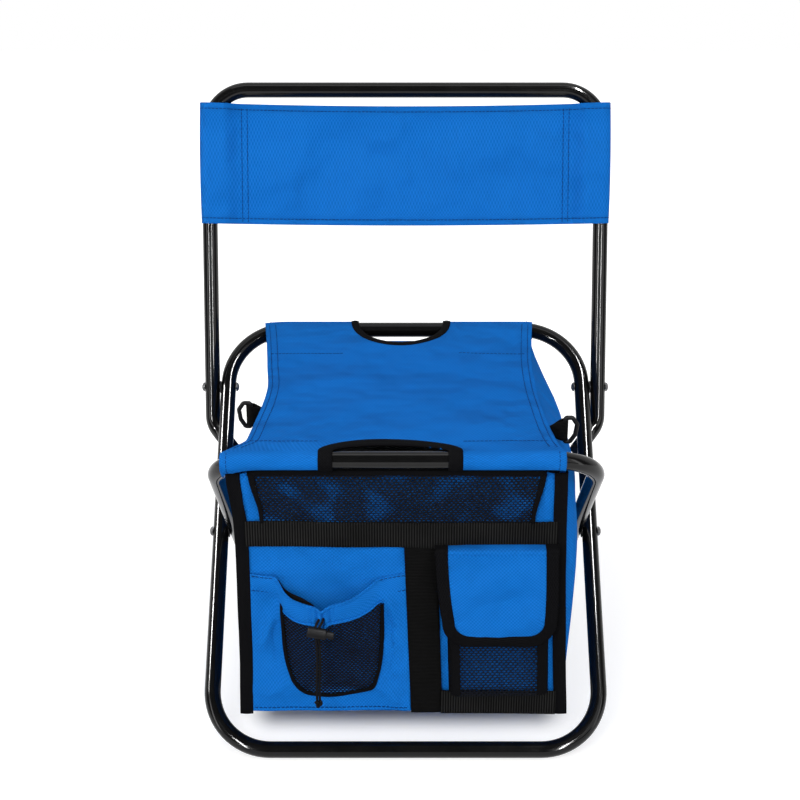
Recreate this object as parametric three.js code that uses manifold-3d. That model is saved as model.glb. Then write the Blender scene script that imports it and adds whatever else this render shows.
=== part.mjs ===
// Folding cooler stool: two crossed tube loops, a folding backrest and an insulated bag under a cloth seat.
// Millimetres, +Z up, +X to the right of someone facing the stool, front towards -Y.
import * as THREE from "three";
import { mergeVertices } from "three/addons/utils/BufferGeometryUtils.js";
import Module from "manifold-3d";

// Frame
const tubeDiameter = 16;
const tubeSides = 16;
const bendSteps = 7;
const outerHalfWidth = 190;
const footReach = 163;
const seatReach = 170;
const legRise = 312;
const outerFootRadius = 59;
const outerTopRadius = 64;
const innerRadius = 47;
const backLength = 314;
const backLean = THREE.MathUtils.degToRad(15.5);
const backTopRadius = 42;
const backPivotDrop = 69;
const tailCornerDrop = 40;
const tailEndDrop = 66;
const tailRadius = 20;
const tailReach = 6;

// Pivots and plugs
const rivetDiameter = 5;
const rivetHeadDiameter = 10;
const rivetHeadHeight = 3;
const domeSteps = 4;
const washerDiameter = 13;
const washerThickness = 0.6;
const plugThickness = 2.5;
const gap = 0.3;
const runningFit = 0.08;

// Cloth and webbing
const clothThickness = 1.2;
const seatThickness = 2.5;
const seatSag = 6;
const seatColumns = 16;
const seatRows = 12;
const archSteps = 24;
const seatOffset = -6;
const seatRearWidth = 290;
const seatWaistWidth = 268;
const seatFrontWidth = 306;
const frontHoleX = -14;
const frontHoleWidth = 102;
const frontHoleDepth = 19;
const rearHoleX = -4.6;
const rearHoleWidth = 92;
const rearHoleDepth = 46;
const bindingWidth = 11;
const bindingThickness = 2;
const bandStart = 175;
const bandHeight = 126;
const bandWeb = 2.6;
const bandPocketWidth = 44;
const bandTaper = 12;
const webbingWidth = 25;
const centreWebbingWidth = 30;
const webbingThickness = 1.6;

// Bag
const bagLegGap = 9.8;
const bagFrontInset = 4;
const bagFloorHeight = 52;
const bagWall = 3;
const linerWall = 1.5;
const gussetBulge = 4;
const shoulderHeight = 26;
const shoulderInset = 2;
const rimCornerDrop = 14;
const rimCornerWidth = 25;

// Front of the bag: heights are from the bag's bottom
const topWebbingHeight = 180;
const centreWebbingX = 16;
const netInset = 12;
const elasticHeight = 10;
const flapInnerGap = 6;
const flapOuterGap = 1.7;
const flapHeight = 104;
const flapCorner = 14;
const flapThickness = 2;
const netThickness = 1.2;
const netHoleShare = 0.62;
const topNetColumns = 22;
const topNetRows = 3;
const pocketNetColumns = 8;
const pocketNetRows = 8;
const boxPocketInset = 6.5;
const boxPocketDepth = 10;
const pouchInnerGap = 23;
const pouchOuterGap = 27.7;
const pouchFloor = 22;
const pouchMouthHeight = 149;
const pouchMouthDip = 34;
const pouchDepth = 18;
const pouchCornerRise = 12;
const pouchFullShare = 0.7;
const hemRadius = 5;
const hemSteps = 16;
const pouchNetDrop = 9;

// Cord lock, cord, rings and zip
const lockShare = 0.37;
const lockDrop = 8;
const lockLength = 17;
const lockDiameter = 10;
const plungerDiameter = 7;
const plungerLength = 9;
const plungerTravel = 3;
const cordDiameter = 2.4;
const cordLength = 74;
const knotDiameter = 7;
const ringWire = 4;
const ringHeight = 28;
const ringReach = 10;
const ringChamfer = 5;
const ringDrop = 2;
const leftRingShare = 0.324;
const leftTabReach = 7;
const rightRingShare = 0.588;
const rightTabReach = 15;
const zipInset = 25;
const zipDrop = 36;
const zipTapeHeight = 14;
const sliderLength = 12;
const sliderDepth = 4;
const sliderHeight = 9;
const pullLength = 28;
const pullThickness = 1.5;

const tubeRadius = tubeDiameter / 2;
const tubeCorner = tubeRadius / Math.cos(Math.PI / tubeSides);
const pivotGap = washerThickness + 2 * gap;
const innerHalfWidth = outerHalfWidth - tubeDiameter - pivotGap;
const backHalfWidth = outerHalfWidth + tubeDiameter + pivotGap;
const bagHalfWidth = innerHalfWidth - tubeRadius - bagLegGap;
const shoulderPinch = bagHalfWidth + gussetBulge - seatWaistWidth / 2 + shoulderInset;
const netHalfWidth = bagHalfWidth - bindingWidth - netInset;
const zipHalfLength = bagHalfWidth - zipInset;
const legReach = footReach + seatReach;
const legLength = Math.hypot(legReach, legRise);
const legAngle = Math.atan2(legRise, legReach);
const footLength = (legLength * footReach) / legReach;
const seatLength = legLength - footLength;
const pivotHeight = tubeRadius + footLength * Math.sin(legAngle);
const barHeight = tubeRadius + legRise;
const sleeveInner = tubeCorner + gap;
const sleeveOuter = sleeveInner + clothThickness;
const seatTop = barHeight + sleeveOuter;
const bagFront = -seatReach + bagFrontInset;
const bagRim = barHeight - sleeveOuter - gap;

const blackTube = new THREE.MeshStandardMaterial({ color: 0x151515, roughness: 0.25, metalness: 0.5 });
const darkSteel = new THREE.MeshStandardMaterial({ color: 0x3a3a3c, roughness: 0.35, metalness: 0.9 });
const blackPlastic = new THREE.MeshStandardMaterial({ color: 0x1a1a1a, roughness: 0.45, metalness: 0 });
const blueCloth = new THREE.MeshStandardMaterial({ color: 0x0c66b4, roughness: 0.85, metalness: 0 });
const blackCloth = new THREE.MeshStandardMaterial({ color: 0x18181a, roughness: 0.9, metalness: 0 });
const blackNet = new THREE.MeshStandardMaterial({ color: 0x141620, roughness: 0.9, metalness: 0 });
const foilLiner = new THREE.MeshStandardMaterial({ color: 0xb9bcc0, roughness: 0.35, metalness: 0.6 });

const wasm = await Module();
wasm.setup();

const vec = (x, y, z) => new THREE.Vector3(x, y, z);
const mix = THREE.MathUtils.lerp;

// A closed geometry as a solid that can be cut or joined
function solidOf(geometry) {
  const bare = geometry.index ? geometry.toNonIndexed() : geometry.clone();
  bare.deleteAttribute("normal");
  bare.deleteAttribute("uv");
  const merged = mergeVertices(bare, 1e-4);
  const vertProperties = new Float32Array(merged.attributes.position.array);
  const triVerts = new Uint32Array(merged.index.array);
  return new wasm.Manifold(new wasm.Mesh({ numProp: 3, vertProperties, triVerts }));
}

function geometryOf(solid) {
  const { vertProperties, triVerts } = solid.getMesh();
  const geometry = new THREE.BufferGeometry();
  geometry.setAttribute("position", new THREE.BufferAttribute(new Float32Array(vertProperties), 3));
  geometry.setIndex(new THREE.BufferAttribute(new Uint32Array(triVerts), 1));
  return geometry;
}

function cut(geometry, ...tools) {
  return geometryOf(tools.reduce((solid, tool) => solid.subtract(solidOf(tool)), solidOf(geometry)));
}

function join(geometry, ...others) {
  return geometryOf(others.reduce((solid, other) => solid.add(solidOf(other)), solidOf(geometry)));
}

// A cylinder along X, from x0 to x1
function rodAlongX(x0, x1, diameter, sides = 16) {
  const rod = new THREE.CylinderGeometry(diameter / 2, diameter / 2, Math.abs(x1 - x0), sides);
  return rod.rotateZ(-Math.PI / 2).translate((x0 + x1) / 2, 0, 0);
}

// Straight runs between corner points, with an arc of its own radius at each corner
function bentPath(corners, radii, closed, steps = bendSteps) {
  const points = [];
  const count = corners.length;
  corners.forEach((corner, i) => {
    const isEnd = !closed && (i === 0 || i === count - 1);
    if (isEnd) {
      points.push(corner.clone());
      return;
    }
    const toLast = corners[(i + count - 1) % count].clone().sub(corner).normalize();
    const toNext = corners[(i + 1) % count].clone().sub(corner).normalize();
    const half = toLast.angleTo(toNext) / 2;
    const start = corner.clone().addScaledVector(toLast, radii[i] / Math.tan(half));
    const middle = toLast.clone().add(toNext).normalize();
    const centre = corner.clone().addScaledVector(middle, radii[i] / Math.sin(half));
    const axis = toLast.clone().cross(start.clone().sub(centre)).normalize();
    for (let step = 0; step <= steps; step++) {
      const turn = ((Math.PI - 2 * half) * step) / steps;
      points.push(start.clone().sub(centre).applyAxisAngle(axis, turn).add(centre));
    }
  });
  return points;
}

// A round bar swept along points. The section's flats touch the true circle, the first one turned to phase.
function sweptTube(points, { diameter, sides, closed = false, normal, phase = 0 }) {
  const count = points.length;
  const corner = diameter / 2 / Math.cos(Math.PI / sides);
  const positions = [];
  const index = [];
  let across = normal.clone();
  let lastTangent = null;
  points.forEach((point, i) => {
    const before = points[closed ? (i + count - 1) % count : Math.max(i - 1, 0)];
    const after = points[closed ? (i + 1) % count : Math.min(i + 1, count - 1)];
    const toHere = point.clone().sub(before).normalize();
    const toNext = after.clone().sub(point).normalize();
    const tangent = toHere.clone().add(toNext).normalize();
    if (lastTangent) {
      across.applyQuaternion(new THREE.Quaternion().setFromUnitVectors(lastTangent, tangent));
    }
    lastTangent = tangent;
    const outward = tangent.clone().cross(across).normalize();
    const mitre = 1 / Math.max(Math.cos(toHere.angleTo(toNext) / 2), 0.5);
    const turning = toNext.clone().sub(toHere);
    const bend = turning.lengthSq() > 1e-9 ? turning.normalize() : outward.clone();
    for (let k = 0; k < sides; k++) {
      const angle = phase + ((k + 0.5) * 2 * Math.PI) / sides;
      const spoke = outward.clone().multiplyScalar(Math.cos(angle)).addScaledVector(across, Math.sin(angle));
      spoke.addScaledVector(bend, spoke.dot(bend) * (mitre - 1));
      positions.push(...spoke.multiplyScalar(corner).add(point));
    }
  });
  const rings = closed ? count : count - 1;
  for (let i = 0; i < rings; i++) {
    const here = i * sides;
    const next = ((i + 1) % count) * sides;
    for (let k = 0; k < sides; k++) {
      const l = (k + 1) % sides;
      index.push(here + k, next + k, next + l, here + k, next + l, here + l);
    }
  }
  if (!closed) {
    const last = (count - 1) * sides;
    for (let k = 1; k < sides - 1; k++) {
      index.push(0, k, k + 1, last, last + k + 1, last + k);
    }
  }
  const geometry = new THREE.BufferGeometry();
  geometry.setAttribute("position", new THREE.Float32BufferAttribute(positions, 3));
  geometry.setIndex(index);
  return geometry;
}

// A flat outline in the XZ plane, from the front face at y to y + depth
function plate(shape, y, depth) {
  const geometry = new THREE.ExtrudeGeometry(shape, { depth, bevelEnabled: false, curveSegments: 8 });
  return geometry.rotateX(Math.PI / 2).translate(0, y + depth, 0);
}

function rectangle(x0, z0, x1, z1) {
  const shape = new THREE.Shape();
  shape.moveTo(x0, z0).lineTo(x1, z0).lineTo(x1, z1).lineTo(x0, z1);
  return shape;
}

// A rectangle whose two lower corners are rounded
function flapOutline(x0, z0, x1, z1, radius) {
  const shape = new THREE.Shape();
  shape.moveTo(x0, z1).lineTo(x0, z0 + radius);
  shape.absarc(x0 + radius, z0 + radius, radius, Math.PI, 1.5 * Math.PI);
  shape.lineTo(x1 - radius, z0);
  shape.absarc(x1 - radius, z0 + radius, radius, 1.5 * Math.PI, 2 * Math.PI);
  shape.lineTo(x1, z1);
  return shape;
}

// A sheet between two faces. place(u, v, side) gives a point, and side is 0 on one face and 1 on the other.
// A hole share above 0 opens each cell, which makes a net.
function sheet(columns, rows, place, holeShare = 0) {
  const positions = [];
  const index = [];
  const seen = new Map();
  const vertex = (u, v, side) => {
    const key = `${u.toFixed(6)},${v.toFixed(6)},${side}`;
    if (!seen.has(key)) {
      seen.set(key, positions.length / 3);
      positions.push(...place(u, v, side));
    }
    return seen.get(key);
  };
  const quad = (a, b, c, d) => index.push(a, b, c, a, c, d);
  const wall = (u0, v0, u1, v1) =>
    quad(vertex(u0, v0, 0), vertex(u1, v1, 0), vertex(u1, v1, 1), vertex(u0, v0, 1));
  const rim = (1 - holeShare) / 2;
  for (let i = 0; i < columns; i++) {
    for (let j = 0; j < rows; j++) {
      const at = (du, dv) => [(i + du) / columns, (j + dv) / rows];
      const outer = [at(0, 0), at(1, 0), at(1, 1), at(0, 1)];
      const inner = [at(rim, rim), at(1 - rim, rim), at(1 - rim, 1 - rim), at(rim, 1 - rim)];
      if (holeShare > 0) {
        for (let k = 0; k < 4; k++) {
          const l = (k + 1) % 4;
          quad(...[outer[l], outer[k], inner[k], inner[l]].map((place) => vertex(...place, 0)));
          quad(...[outer[k], outer[l], inner[l], inner[k]].map((place) => vertex(...place, 1)));
          wall(...inner[l], ...inner[k]);
        }
      } else {
        quad(...[3, 2, 1, 0].map((k) => vertex(...outer[k], 0)));
        quad(...[0, 1, 2, 3].map((k) => vertex(...outer[k], 1)));
      }
    }
  }
  for (let i = 0; i < columns; i++) {
    wall(i / columns, 0, (i + 1) / columns, 0);
    wall((i + 1) / columns, 1, i / columns, 1);
  }
  for (let j = 0; j < rows; j++) {
    wall(1, j / rows, 1, (j + 1) / rows);
    wall(0, (j + 1) / rows, 0, j / rows);
  }
  const geometry = new THREE.BufferGeometry();
  geometry.setAttribute("position", new THREE.Float32BufferAttribute(positions, 3));
  geometry.setIndex(index);
  return geometry;
}

// An open-topped vessel from matching rings of points: outside from the bottom up, then inside going down.
// Both faces of a wall are split along the same diagonal, so one vessel can nest in another.
function vessel(rings) {
  const size = rings[0].length;
  const positions = rings.flat().flatMap((point) => point.toArray());
  const index = [];
  for (let i = 0; i < rings.length - 1; i++) {
    for (let k = 0; k < size; k++) {
      const l = (k + 1) % size;
      const here = i * size;
      const next = here + size;
      if (i < rings.length / 2) {
        index.push(here + k, here + l, next + l, here + k, next + l, next + k);
      } else {
        index.push(here + k, here + l, next + k, here + l, next + l, next + k);
      }
    }
  }
  const centreOf = (ring) => ring.reduce((sum, p) => sum.add(p), vec(0, 0, 0)).divideScalar(size);
  const first = positions.length / 3;
  positions.push(...centreOf(rings[0]), ...centreOf(rings.at(-1)));
  const lastRing = (rings.length - 1) * size;
  for (let k = 0; k < size; k++) {
    const l = (k + 1) % size;
    index.push(first, l, k, first + 1, lastRing + k, lastRing + l);
  }
  const geometry = new THREE.BufferGeometry();
  geometry.setAttribute("position", new THREE.Float32BufferAttribute(positions, 3));
  geometry.setIndex(index);
  return geometry;
}

function add(parent, name, geometry, material) {
  const mesh = new THREE.Mesh(geometry, material);
  mesh.name = name;
  parent.add(mesh);
  return mesh;
}

const stool = new THREE.Group();
const sides = [
  { tag: "left", sign: -1, ringY: -leftRingShare * seatReach, tabReach: leftTabReach },
  { tag: "right", sign: 1, ringY: -rightRingShare * seatReach, tabReach: rightTabReach },
];

// Leg loops: each lies in its own plane through the leg pivot, local +Y up the leg
const outerFrame = new THREE.Group();
outerFrame.position.set(0, 0, pivotHeight);
outerFrame.rotation.x = legAngle;
const innerFrame = new THREE.Group();
innerFrame.position.copy(outerFrame.position);
innerFrame.rotation.x = Math.PI - legAngle;
stool.add(outerFrame, innerFrame);

function legLoop(halfWidth, footRadius, topRadius, tilt) {
  const corners = [
    vec(-halfWidth, -footLength, 0),
    vec(halfWidth, -footLength, 0),
    vec(halfWidth, seatLength, 0),
    vec(-halfWidth, seatLength, 0),
  ];
  const path = bentPath(corners, [footRadius, footRadius, topRadius, topRadius], true);
  const floorFlat = Math.atan2(-Math.cos(tilt), Math.sin(tilt));
  const loop = { diameter: tubeDiameter, sides: tubeSides, closed: true, normal: vec(0, 0, 1) };
  return sweptTube(path, { ...loop, phase: floorFlat });
}

const boreDiameter = rivetDiameter + 2 * runningFit;
const backPivotAt = seatLength - backPivotDrop;
const legBore = rodAlongX(-2 * outerHalfWidth, 2 * outerHalfWidth, boreDiameter);
const backBore = legBore.clone().translate(0, backPivotAt, 0);
const outerTube = legLoop(outerHalfWidth, outerFootRadius, outerTopRadius, outerFrame.rotation.x);
add(outerFrame, "outer_leg_loop", cut(outerTube, legBore, backBore), blackTube);
const innerTube = legLoop(innerHalfWidth, innerRadius, innerRadius, innerFrame.rotation.x);
add(innerFrame, "inner_leg_loop", cut(innerTube, legBore), blackTube);

// A rivet from the face of one tube to the far face of the next, with a domed head at each end
function rivet(innerX, outerX) {
  const headRadius = rivetHeadDiameter / 2;
  const half = (outerX - innerX) / 2;
  const profile = [];
  for (let step = 0; step <= domeSteps; step++) {
    const turn = (step / domeSteps) * (Math.PI / 2);
    profile.push(new THREE.Vector2(headRadius * Math.sin(turn), -half - rivetHeadHeight * Math.cos(turn)));
  }
  profile.push(new THREE.Vector2(rivetDiameter / 2, -half));
  const mirrored = profile.map((p) => new THREE.Vector2(p.x, -p.y)).reverse();
  const lathe = new THREE.LatheGeometry([...profile, ...mirrored], 12);
  return lathe.rotateZ(-Math.PI / 2).translate((innerX + outerX) / 2, 0, 0);
}

function washer(x0, x1) {
  const bore = rodAlongX(x0 - 1, x1 + 1, boreDiameter);
  return cut(rodAlongX(x0, x1, washerDiameter), bore);
}

// The backrest turns about its own rivets, high on the outer legs. Local +Y runs up the uprights.
const backrest = new THREE.Group();
backrest.position.set(0, backPivotAt, 0);
backrest.rotation.x = Math.PI / 2 - backLean - legAngle;
outerFrame.add(backrest);

const legToBack = backrest.rotation.x;
const seatedDepth = tubeDiameter + 2 * gap;
for (const { tag, sign } of sides) {
  const outerFace = outerHalfWidth + tubeRadius;
  const place = (geometry) => (sign < 0 ? geometry.rotateY(Math.PI) : geometry);
  const legRivet = rivet(innerHalfWidth - tubeCorner - gap, outerHalfWidth + tubeCorner + gap);
  add(outerFrame, `leg_pivot_rivet_${tag}`, place(legRivet), darkSteel);
  const legWasherX = innerHalfWidth + tubeRadius + gap;
  const legDisc = washer(legWasherX, legWasherX + washerThickness);
  add(outerFrame, `leg_pivot_washer_${tag}`, place(legDisc), blackPlastic);
  const backRivet = rivet(outerHalfWidth - tubeCorner - gap, backHalfWidth + tubeCorner + gap);
  const backPin = add(outerFrame, `back_pivot_rivet_${tag}`, place(backRivet), darkSteel);
  backPin.position.y = backPivotAt;
  const backWasherX = outerFace + gap;
  const backDisc = washer(backWasherX, backWasherX + washerThickness);
  const backSpacer = add(outerFrame, `back_pivot_washer_${tag}`, place(backDisc), blackPlastic);
  backSpacer.position.y = backPivotAt;
}

// The tail leaves the upright below the rivet and turns in behind the outer leg, where it rests as the stop
function tailPoints(sign) {
  const onLeg = (x, along, behind) =>
    vec(sign * x, along, -behind).applyAxisAngle(vec(1, 0, 0), -legToBack);
  const corner = vec(sign * backHalfWidth, -tailCornerDrop, 0);
  const tip = onLeg(outerHalfWidth - tailReach, -tailEndDrop, seatedDepth);
  return { corner, tip };
}

const leftTail = tailPoints(-1);
const rightTail = tailPoints(1);
const backCorners = [
  leftTail.tip,
  leftTail.corner,
  vec(-backHalfWidth, backLength, 0),
  vec(backHalfWidth, backLength, 0),
  rightTail.corner,
  rightTail.tip,
];
const backRadii = [0, tailRadius, backTopRadius, backTopRadius, tailRadius, 0];
const backPath = bentPath(backCorners, backRadii, false);
const backStart = backPath[1].clone().sub(backPath[0]).normalize();
const backAcross = vec(0, 0, 1).addScaledVector(backStart, -backStart.z).normalize();
const backTube = sweptTube(backPath, { diameter: tubeDiameter, sides: tubeSides, normal: backAcross });
add(backrest, "backrest_tube", cut(backTube, legBore), blackTube);

for (const { tag, sign } of sides) {
  const { corner, tip } = sign < 0 ? leftTail : rightTail;
  const outward = tip.clone().sub(corner).normalize();
  const plug = new THREE.CylinderGeometry(tubeRadius - gap, tubeRadius - gap, plugThickness, 20);
  const mesh = add(backrest, `backrest_end_plug_${tag}`, plug, blackPlastic);
  mesh.quaternion.setFromUnitVectors(vec(0, 1, 0), outward);
  mesh.position.copy(tip).addScaledVector(outward, gap + plugThickness / 2);
}

// Backrest band: one cloth, sewn to itself as a pocket round each upright, extruded up the uprights
function bandOutline() {
  const shape = new THREE.Shape();
  const outer = sleeveOuter;
  const half = bandWeb / 2;
  const pocketEnd = backHalfWidth + outer - bandPocketWidth;
  const flatEnd = pocketEnd + bandTaper;
  const pocketTip = pocketEnd + bandWeb;
  shape.moveTo(-pocketEnd, -half).lineTo(pocketEnd, -half);
  shape.lineTo(flatEnd, -outer).lineTo(backHalfWidth, -outer);
  shape.absarc(backHalfWidth, 0, outer, -Math.PI / 2, Math.PI / 2);
  shape.lineTo(flatEnd, outer).lineTo(pocketEnd, half).lineTo(-pocketEnd, half).lineTo(-flatEnd, outer);
  shape.lineTo(-backHalfWidth, outer);
  shape.absarc(-backHalfWidth, 0, outer, Math.PI / 2, 1.5 * Math.PI);
  shape.lineTo(-flatEnd, -outer);
  for (const { sign } of sides) {
    const pocket = new THREE.Path();
    const from = sign > 0 ? -Math.PI / 2 : Math.PI / 2;
    pocket.moveTo(sign * pocketTip, 0).lineTo(sign * flatEnd, -sign * sleeveInner);
    pocket.absarc(sign * backHalfWidth, 0, sleeveInner, from, from + Math.PI);
    pocket.lineTo(sign * flatEnd, sign * sleeveInner);
    shape.holes.push(pocket);
  }
  return shape;
}

const bandOptions = { depth: bandHeight, bevelEnabled: false, curveSegments: 10 };
const band = new THREE.ExtrudeGeometry(bandOutline(), bandOptions).rotateX(-Math.PI / 2);
add(backrest, "backrest_band", band.translate(0, bandStart, 0), blueCloth);

// Seat sling: sleeves round the two seat bars, with a gap at each hand hole, and the panel between them
function barPath(halfWidth, radius, startX, endX) {
  const straight = halfWidth - radius;
  if (endX <= straight) {
    return [vec(startX, seatLength, 0), vec(endX, seatLength, 0)];
  }
  const points = [vec(startX, seatLength, 0)];
  const sweep = Math.asin(Math.min((endX - straight) / radius, 0.9));
  for (let step = 0; step <= bendSteps; step++) {
    const turn = (sweep * step) / bendSteps;
    points.push(vec(straight + radius * Math.sin(turn), seatLength - radius * (1 - Math.cos(turn)), 0));
  }
  return points;
}

function sleeve(path) {
  const along = { sides: tubeSides, normal: vec(0, 0, 1) };
  const first = path[0].clone().sub(path[1]).setLength(clothThickness).add(path[0]);
  const last = path.at(-1).clone().sub(path.at(-2)).setLength(clothThickness).add(path.at(-1));
  const bore = sweptTube([first, ...path.slice(1, -1), last], { ...along, diameter: 2 * sleeveInner });
  return cut(sweptTube(path, { ...along, diameter: 2 * sleeveOuter }), bore);
}

function addSleeves(parent, name, { halfWidth, radius, clothWidth }, hole) {
  for (const { tag, sign } of sides) {
    const start = hole.width / 2 + sign * hole.x;
    const end = clothWidth / 2 + sign * seatOffset;
    const geometry = sleeve(barPath(halfWidth, radius, start, end));
    add(parent, `${name}_${tag}`, sign < 0 ? geometry.rotateY(Math.PI) : geometry, blueCloth);
  }
}

const frontHole = { x: frontHoleX, width: frontHoleWidth, depth: frontHoleDepth, sign: 1 };
const rearHole = { x: rearHoleX, width: rearHoleWidth, depth: rearHoleDepth, sign: -1 };
const frontBar = { halfWidth: innerHalfWidth, radius: innerRadius, clothWidth: seatFrontWidth };
const rearBar = { halfWidth: outerHalfWidth, radius: outerTopRadius, clothWidth: seatRearWidth };
addSleeves(innerFrame, "seat_front_sleeve", frontBar, frontHole);
addSleeves(outerFrame, "seat_rear_sleeve", rearBar, rearHole);

// The panel meets each sleeve below its crown, arches back at the hand holes and sags between the bars
const meetHeight = sleeveOuter - seatThickness;
const panelReach = seatReach - Math.sqrt(sleeveOuter ** 2 - meetHeight ** 2) - gap;
const seatSurface = (y) => seatTop - seatSag * Math.cos((Math.PI * y) / (2 * panelReach));

function seatHalfWidth(y) {
  const v = (panelReach - y) / (2 * panelReach);
  const ends = mix(seatRearWidth, seatFrontWidth, v);
  const waist = Math.sin(Math.PI * v) ** 0.5;
  return mix(ends, seatWaistWidth, waist) / 2;
}

function seatPoint(u, v, side) {
  const y = mix(panelReach, -panelReach, v);
  const x = seatOffset + mix(1, -1, u) * seatHalfWidth(y);
  return vec(x, y, seatSurface(y) - (side ? 0 : seatThickness));
}

// The arch of a hand hole and its binding, cut through the panel from one bar
function archCut({ x, width, depth, sign }) {
  const arch = new THREE.Shape();
  const halfWidth = width / 2 + bindingWidth;
  arch.absellipse(x, -sign * panelReach, halfWidth, depth + bindingWidth, 0, 2 * Math.PI);
  const options = { depth: 2 * seatTop, bevelEnabled: false, curveSegments: 2 * archSteps };
  return new THREE.ExtrudeGeometry(arch, options);
}

const panelSheet = sheet(seatColumns, seatRows, seatPoint);
const seatPanel = cut(panelSheet, archCut(frontHole), archCut(rearHole));
add(stool, "seat_panel", seatPanel, blueCloth);

// A bound edge round a hand hole, from one end of the arch to the other
function archBinding(hole) {
  const half = hole.width / 2;
  return sheet(archSteps, 1, (u, v, side) => {
    const turn = Math.PI * (1 - u);
    const spread = half + gap + v * (bindingWidth - 2 * gap);
    const depth = gap + hole.depth + v * (bindingWidth - 2 * gap);
    const x = hole.x + spread * Math.cos(turn);
    const y = -hole.sign * (panelReach - depth * Math.sin(turn));
    const height = seatSurface(y) - (side ? 0 : seatThickness);
    return vec(hole.sign > 0 ? x : 2 * hole.x - x, y, height);
  });
}

add(stool, "seat_front_binding", archBinding(frontHole), blackCloth);
add(stool, "seat_rear_binding", archBinding(rearHole), blackCloth);

// Bag: plan rings with flat front and back and sides that swell, drawn in at the shoulder under the seat
const sideSteps = 8;
function bagRing(height, inset, top) {
  const ring = [];
  const halfWidth = bagHalfWidth - inset;
  const front = bagFront + inset;
  for (const sign of [1, -1]) {
    for (let step = 0; step <= sideSteps; step++) {
      const share = step / sideSteps;
      const swell = Math.sin(Math.PI * share);
      const pinch = top ? shoulderPinch - sign * seatOffset : 0;
      const x = sign * (halfWidth + swell * (gussetBulge - pinch));
      const y = sign * mix(front, -front, share);
      const lift = top ? swell * rimRise - (1 - swell) * rimCornerDrop : 0;
      ring.push(vec(x, y, height + lift));
    }
    const flat = halfWidth - rimCornerWidth;
    ring.push(vec(sign * flat, sign * -front, height), vec(-sign * flat, sign * -front, height));
  }
  return ring;
}

const rimRise = seatTop - seatSag - seatThickness - gap - bagRim;
const shoulder = bagRim - shoulderHeight;
function bagVessel(inset, wall, floor) {
  const outside = [
    bagRing(floor, inset, false),
    bagRing(shoulder, inset, false),
    bagRing(bagRim, inset, true),
  ];
  const inside = [
    bagRing(bagRim, inset + wall, true),
    bagRing(shoulder, inset + wall, false),
    bagRing(floor + wall, inset + wall, false),
  ];
  return vessel([...outside, ...inside]);
}

add(stool, "bag_shell", bagVessel(0, bagWall, bagFloorHeight), blueCloth);
add(stool, "bag_liner", bagVessel(bagWall + gap, linerWall, bagFloorHeight + bagWall + gap), foilLiner);

// Trim on the front of the bag
const frontFace = bagFront - gap;
const bindingFace = frontFace - bindingThickness;
const webbingFace = frontFace - webbingThickness;
const edgeTop = bagRim - rimCornerDrop;
for (const { tag, sign } of sides) {
  const outerX = sign * bagHalfWidth;
  const innerX = sign * (bagHalfWidth - bindingWidth);
  const strip = rectangle(Math.min(outerX, innerX), bagFloorHeight, Math.max(outerX, innerX), edgeTop);
  add(stool, `front_binding_${tag}`, plate(strip, bindingFace, bindingThickness), blackCloth);
}

const panelHalf = bagHalfWidth - bindingWidth - gap;
const bandLow = bagFloorHeight + topWebbingHeight;
const bandHigh = bandLow + webbingWidth;
const topBand = rectangle(-panelHalf, bandLow, panelHalf, bandHigh);
add(stool, "webbing_top", plate(topBand, webbingFace, webbingThickness), blackCloth);
const centreHalf = centreWebbingWidth / 2;
const centreStrip = rectangle(
  centreWebbingX - centreHalf,
  bagFloorHeight + gap,
  centreWebbingX + centreHalf,
  bandLow - gap,
);
add(stool, "webbing_centre", plate(centreStrip, webbingFace, webbingThickness), blackCloth);
const lowBandTop = bagFloorHeight + gap + webbingWidth;
const lowBand = rectangle(centreWebbingX + centreHalf + gap, bagFloorHeight + gap, panelHalf, lowBandTop);
add(stool, "webbing_bottom", plate(lowBand, webbingFace, webbingThickness), blackCloth);

// Net pocket across the top of the front, held by an elastic edge and by the webbing
const netLow = bandHigh + gap;
const netHigh = bagRim - gap - elasticHeight;
const topNetPoint = (u, v, side) => {
  const x = mix(-netHalfWidth, netHalfWidth, u);
  return vec(x, frontFace - side * netThickness, mix(netLow, netHigh - gap, v));
};
const topNet = sheet(topNetColumns, topNetRows, topNetPoint, netHoleShare);
add(stool, "net_pocket", topNet, blackNet);
const elastic = rectangle(-netHalfWidth, netHigh, netHalfWidth, netHigh + elasticHeight);
add(stool, "net_pocket_elastic", plate(elastic, webbingFace, webbingThickness), blackCloth);

// Flap pocket: a net front on cloth sides, open at the top, under a bound flap that hangs from the webbing
const flapTop = bandLow - gap;
const flapLow = flapTop - flapHeight;
const flapX0 = centreWebbingX + centreHalf + flapInnerGap;
const flapX1 = panelHalf - flapOuterGap;
const boxX0 = flapX0 + boxPocketInset;
const boxX1 = flapX1 - boxPocketInset;
const boxLow = lowBandTop + gap;
const boxHigh = flapTop - 2 * bindingWidth;
const boxWall = bindingThickness;
const boxFace = frontFace - boxPocketDepth;
const sideWall = (x) => plate(rectangle(x, boxLow, x + boxWall, boxHigh), boxFace, boxPocketDepth);
const boxFloor = plate(rectangle(boxX0, boxLow, boxX1, boxLow + boxWall), boxFace, boxPocketDepth);
const boxTrim = plate(flapOutline(boxX0, boxLow, boxX1, boxHigh, boxWall), boxFace, boxWall);
const windowX0 = boxX0 + bindingWidth;
const windowX1 = boxX1 - bindingWidth;
const windowCut = rectangle(windowX0, boxLow + boxWall, windowX1, boxHigh - bindingWidth);
const boxFrame = cut(boxTrim, plate(windowCut, boxFace - boxPocketDepth, 3 * boxPocketDepth));
const pocketSides = join(boxFrame, sideWall(boxX0), sideWall(boxX1 - boxWall), boxFloor);
add(stool, "flap_pocket_sides", pocketSides, blackCloth);
const netX0 = windowX0 + gap;
const netX1 = windowX1 - gap;
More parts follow.
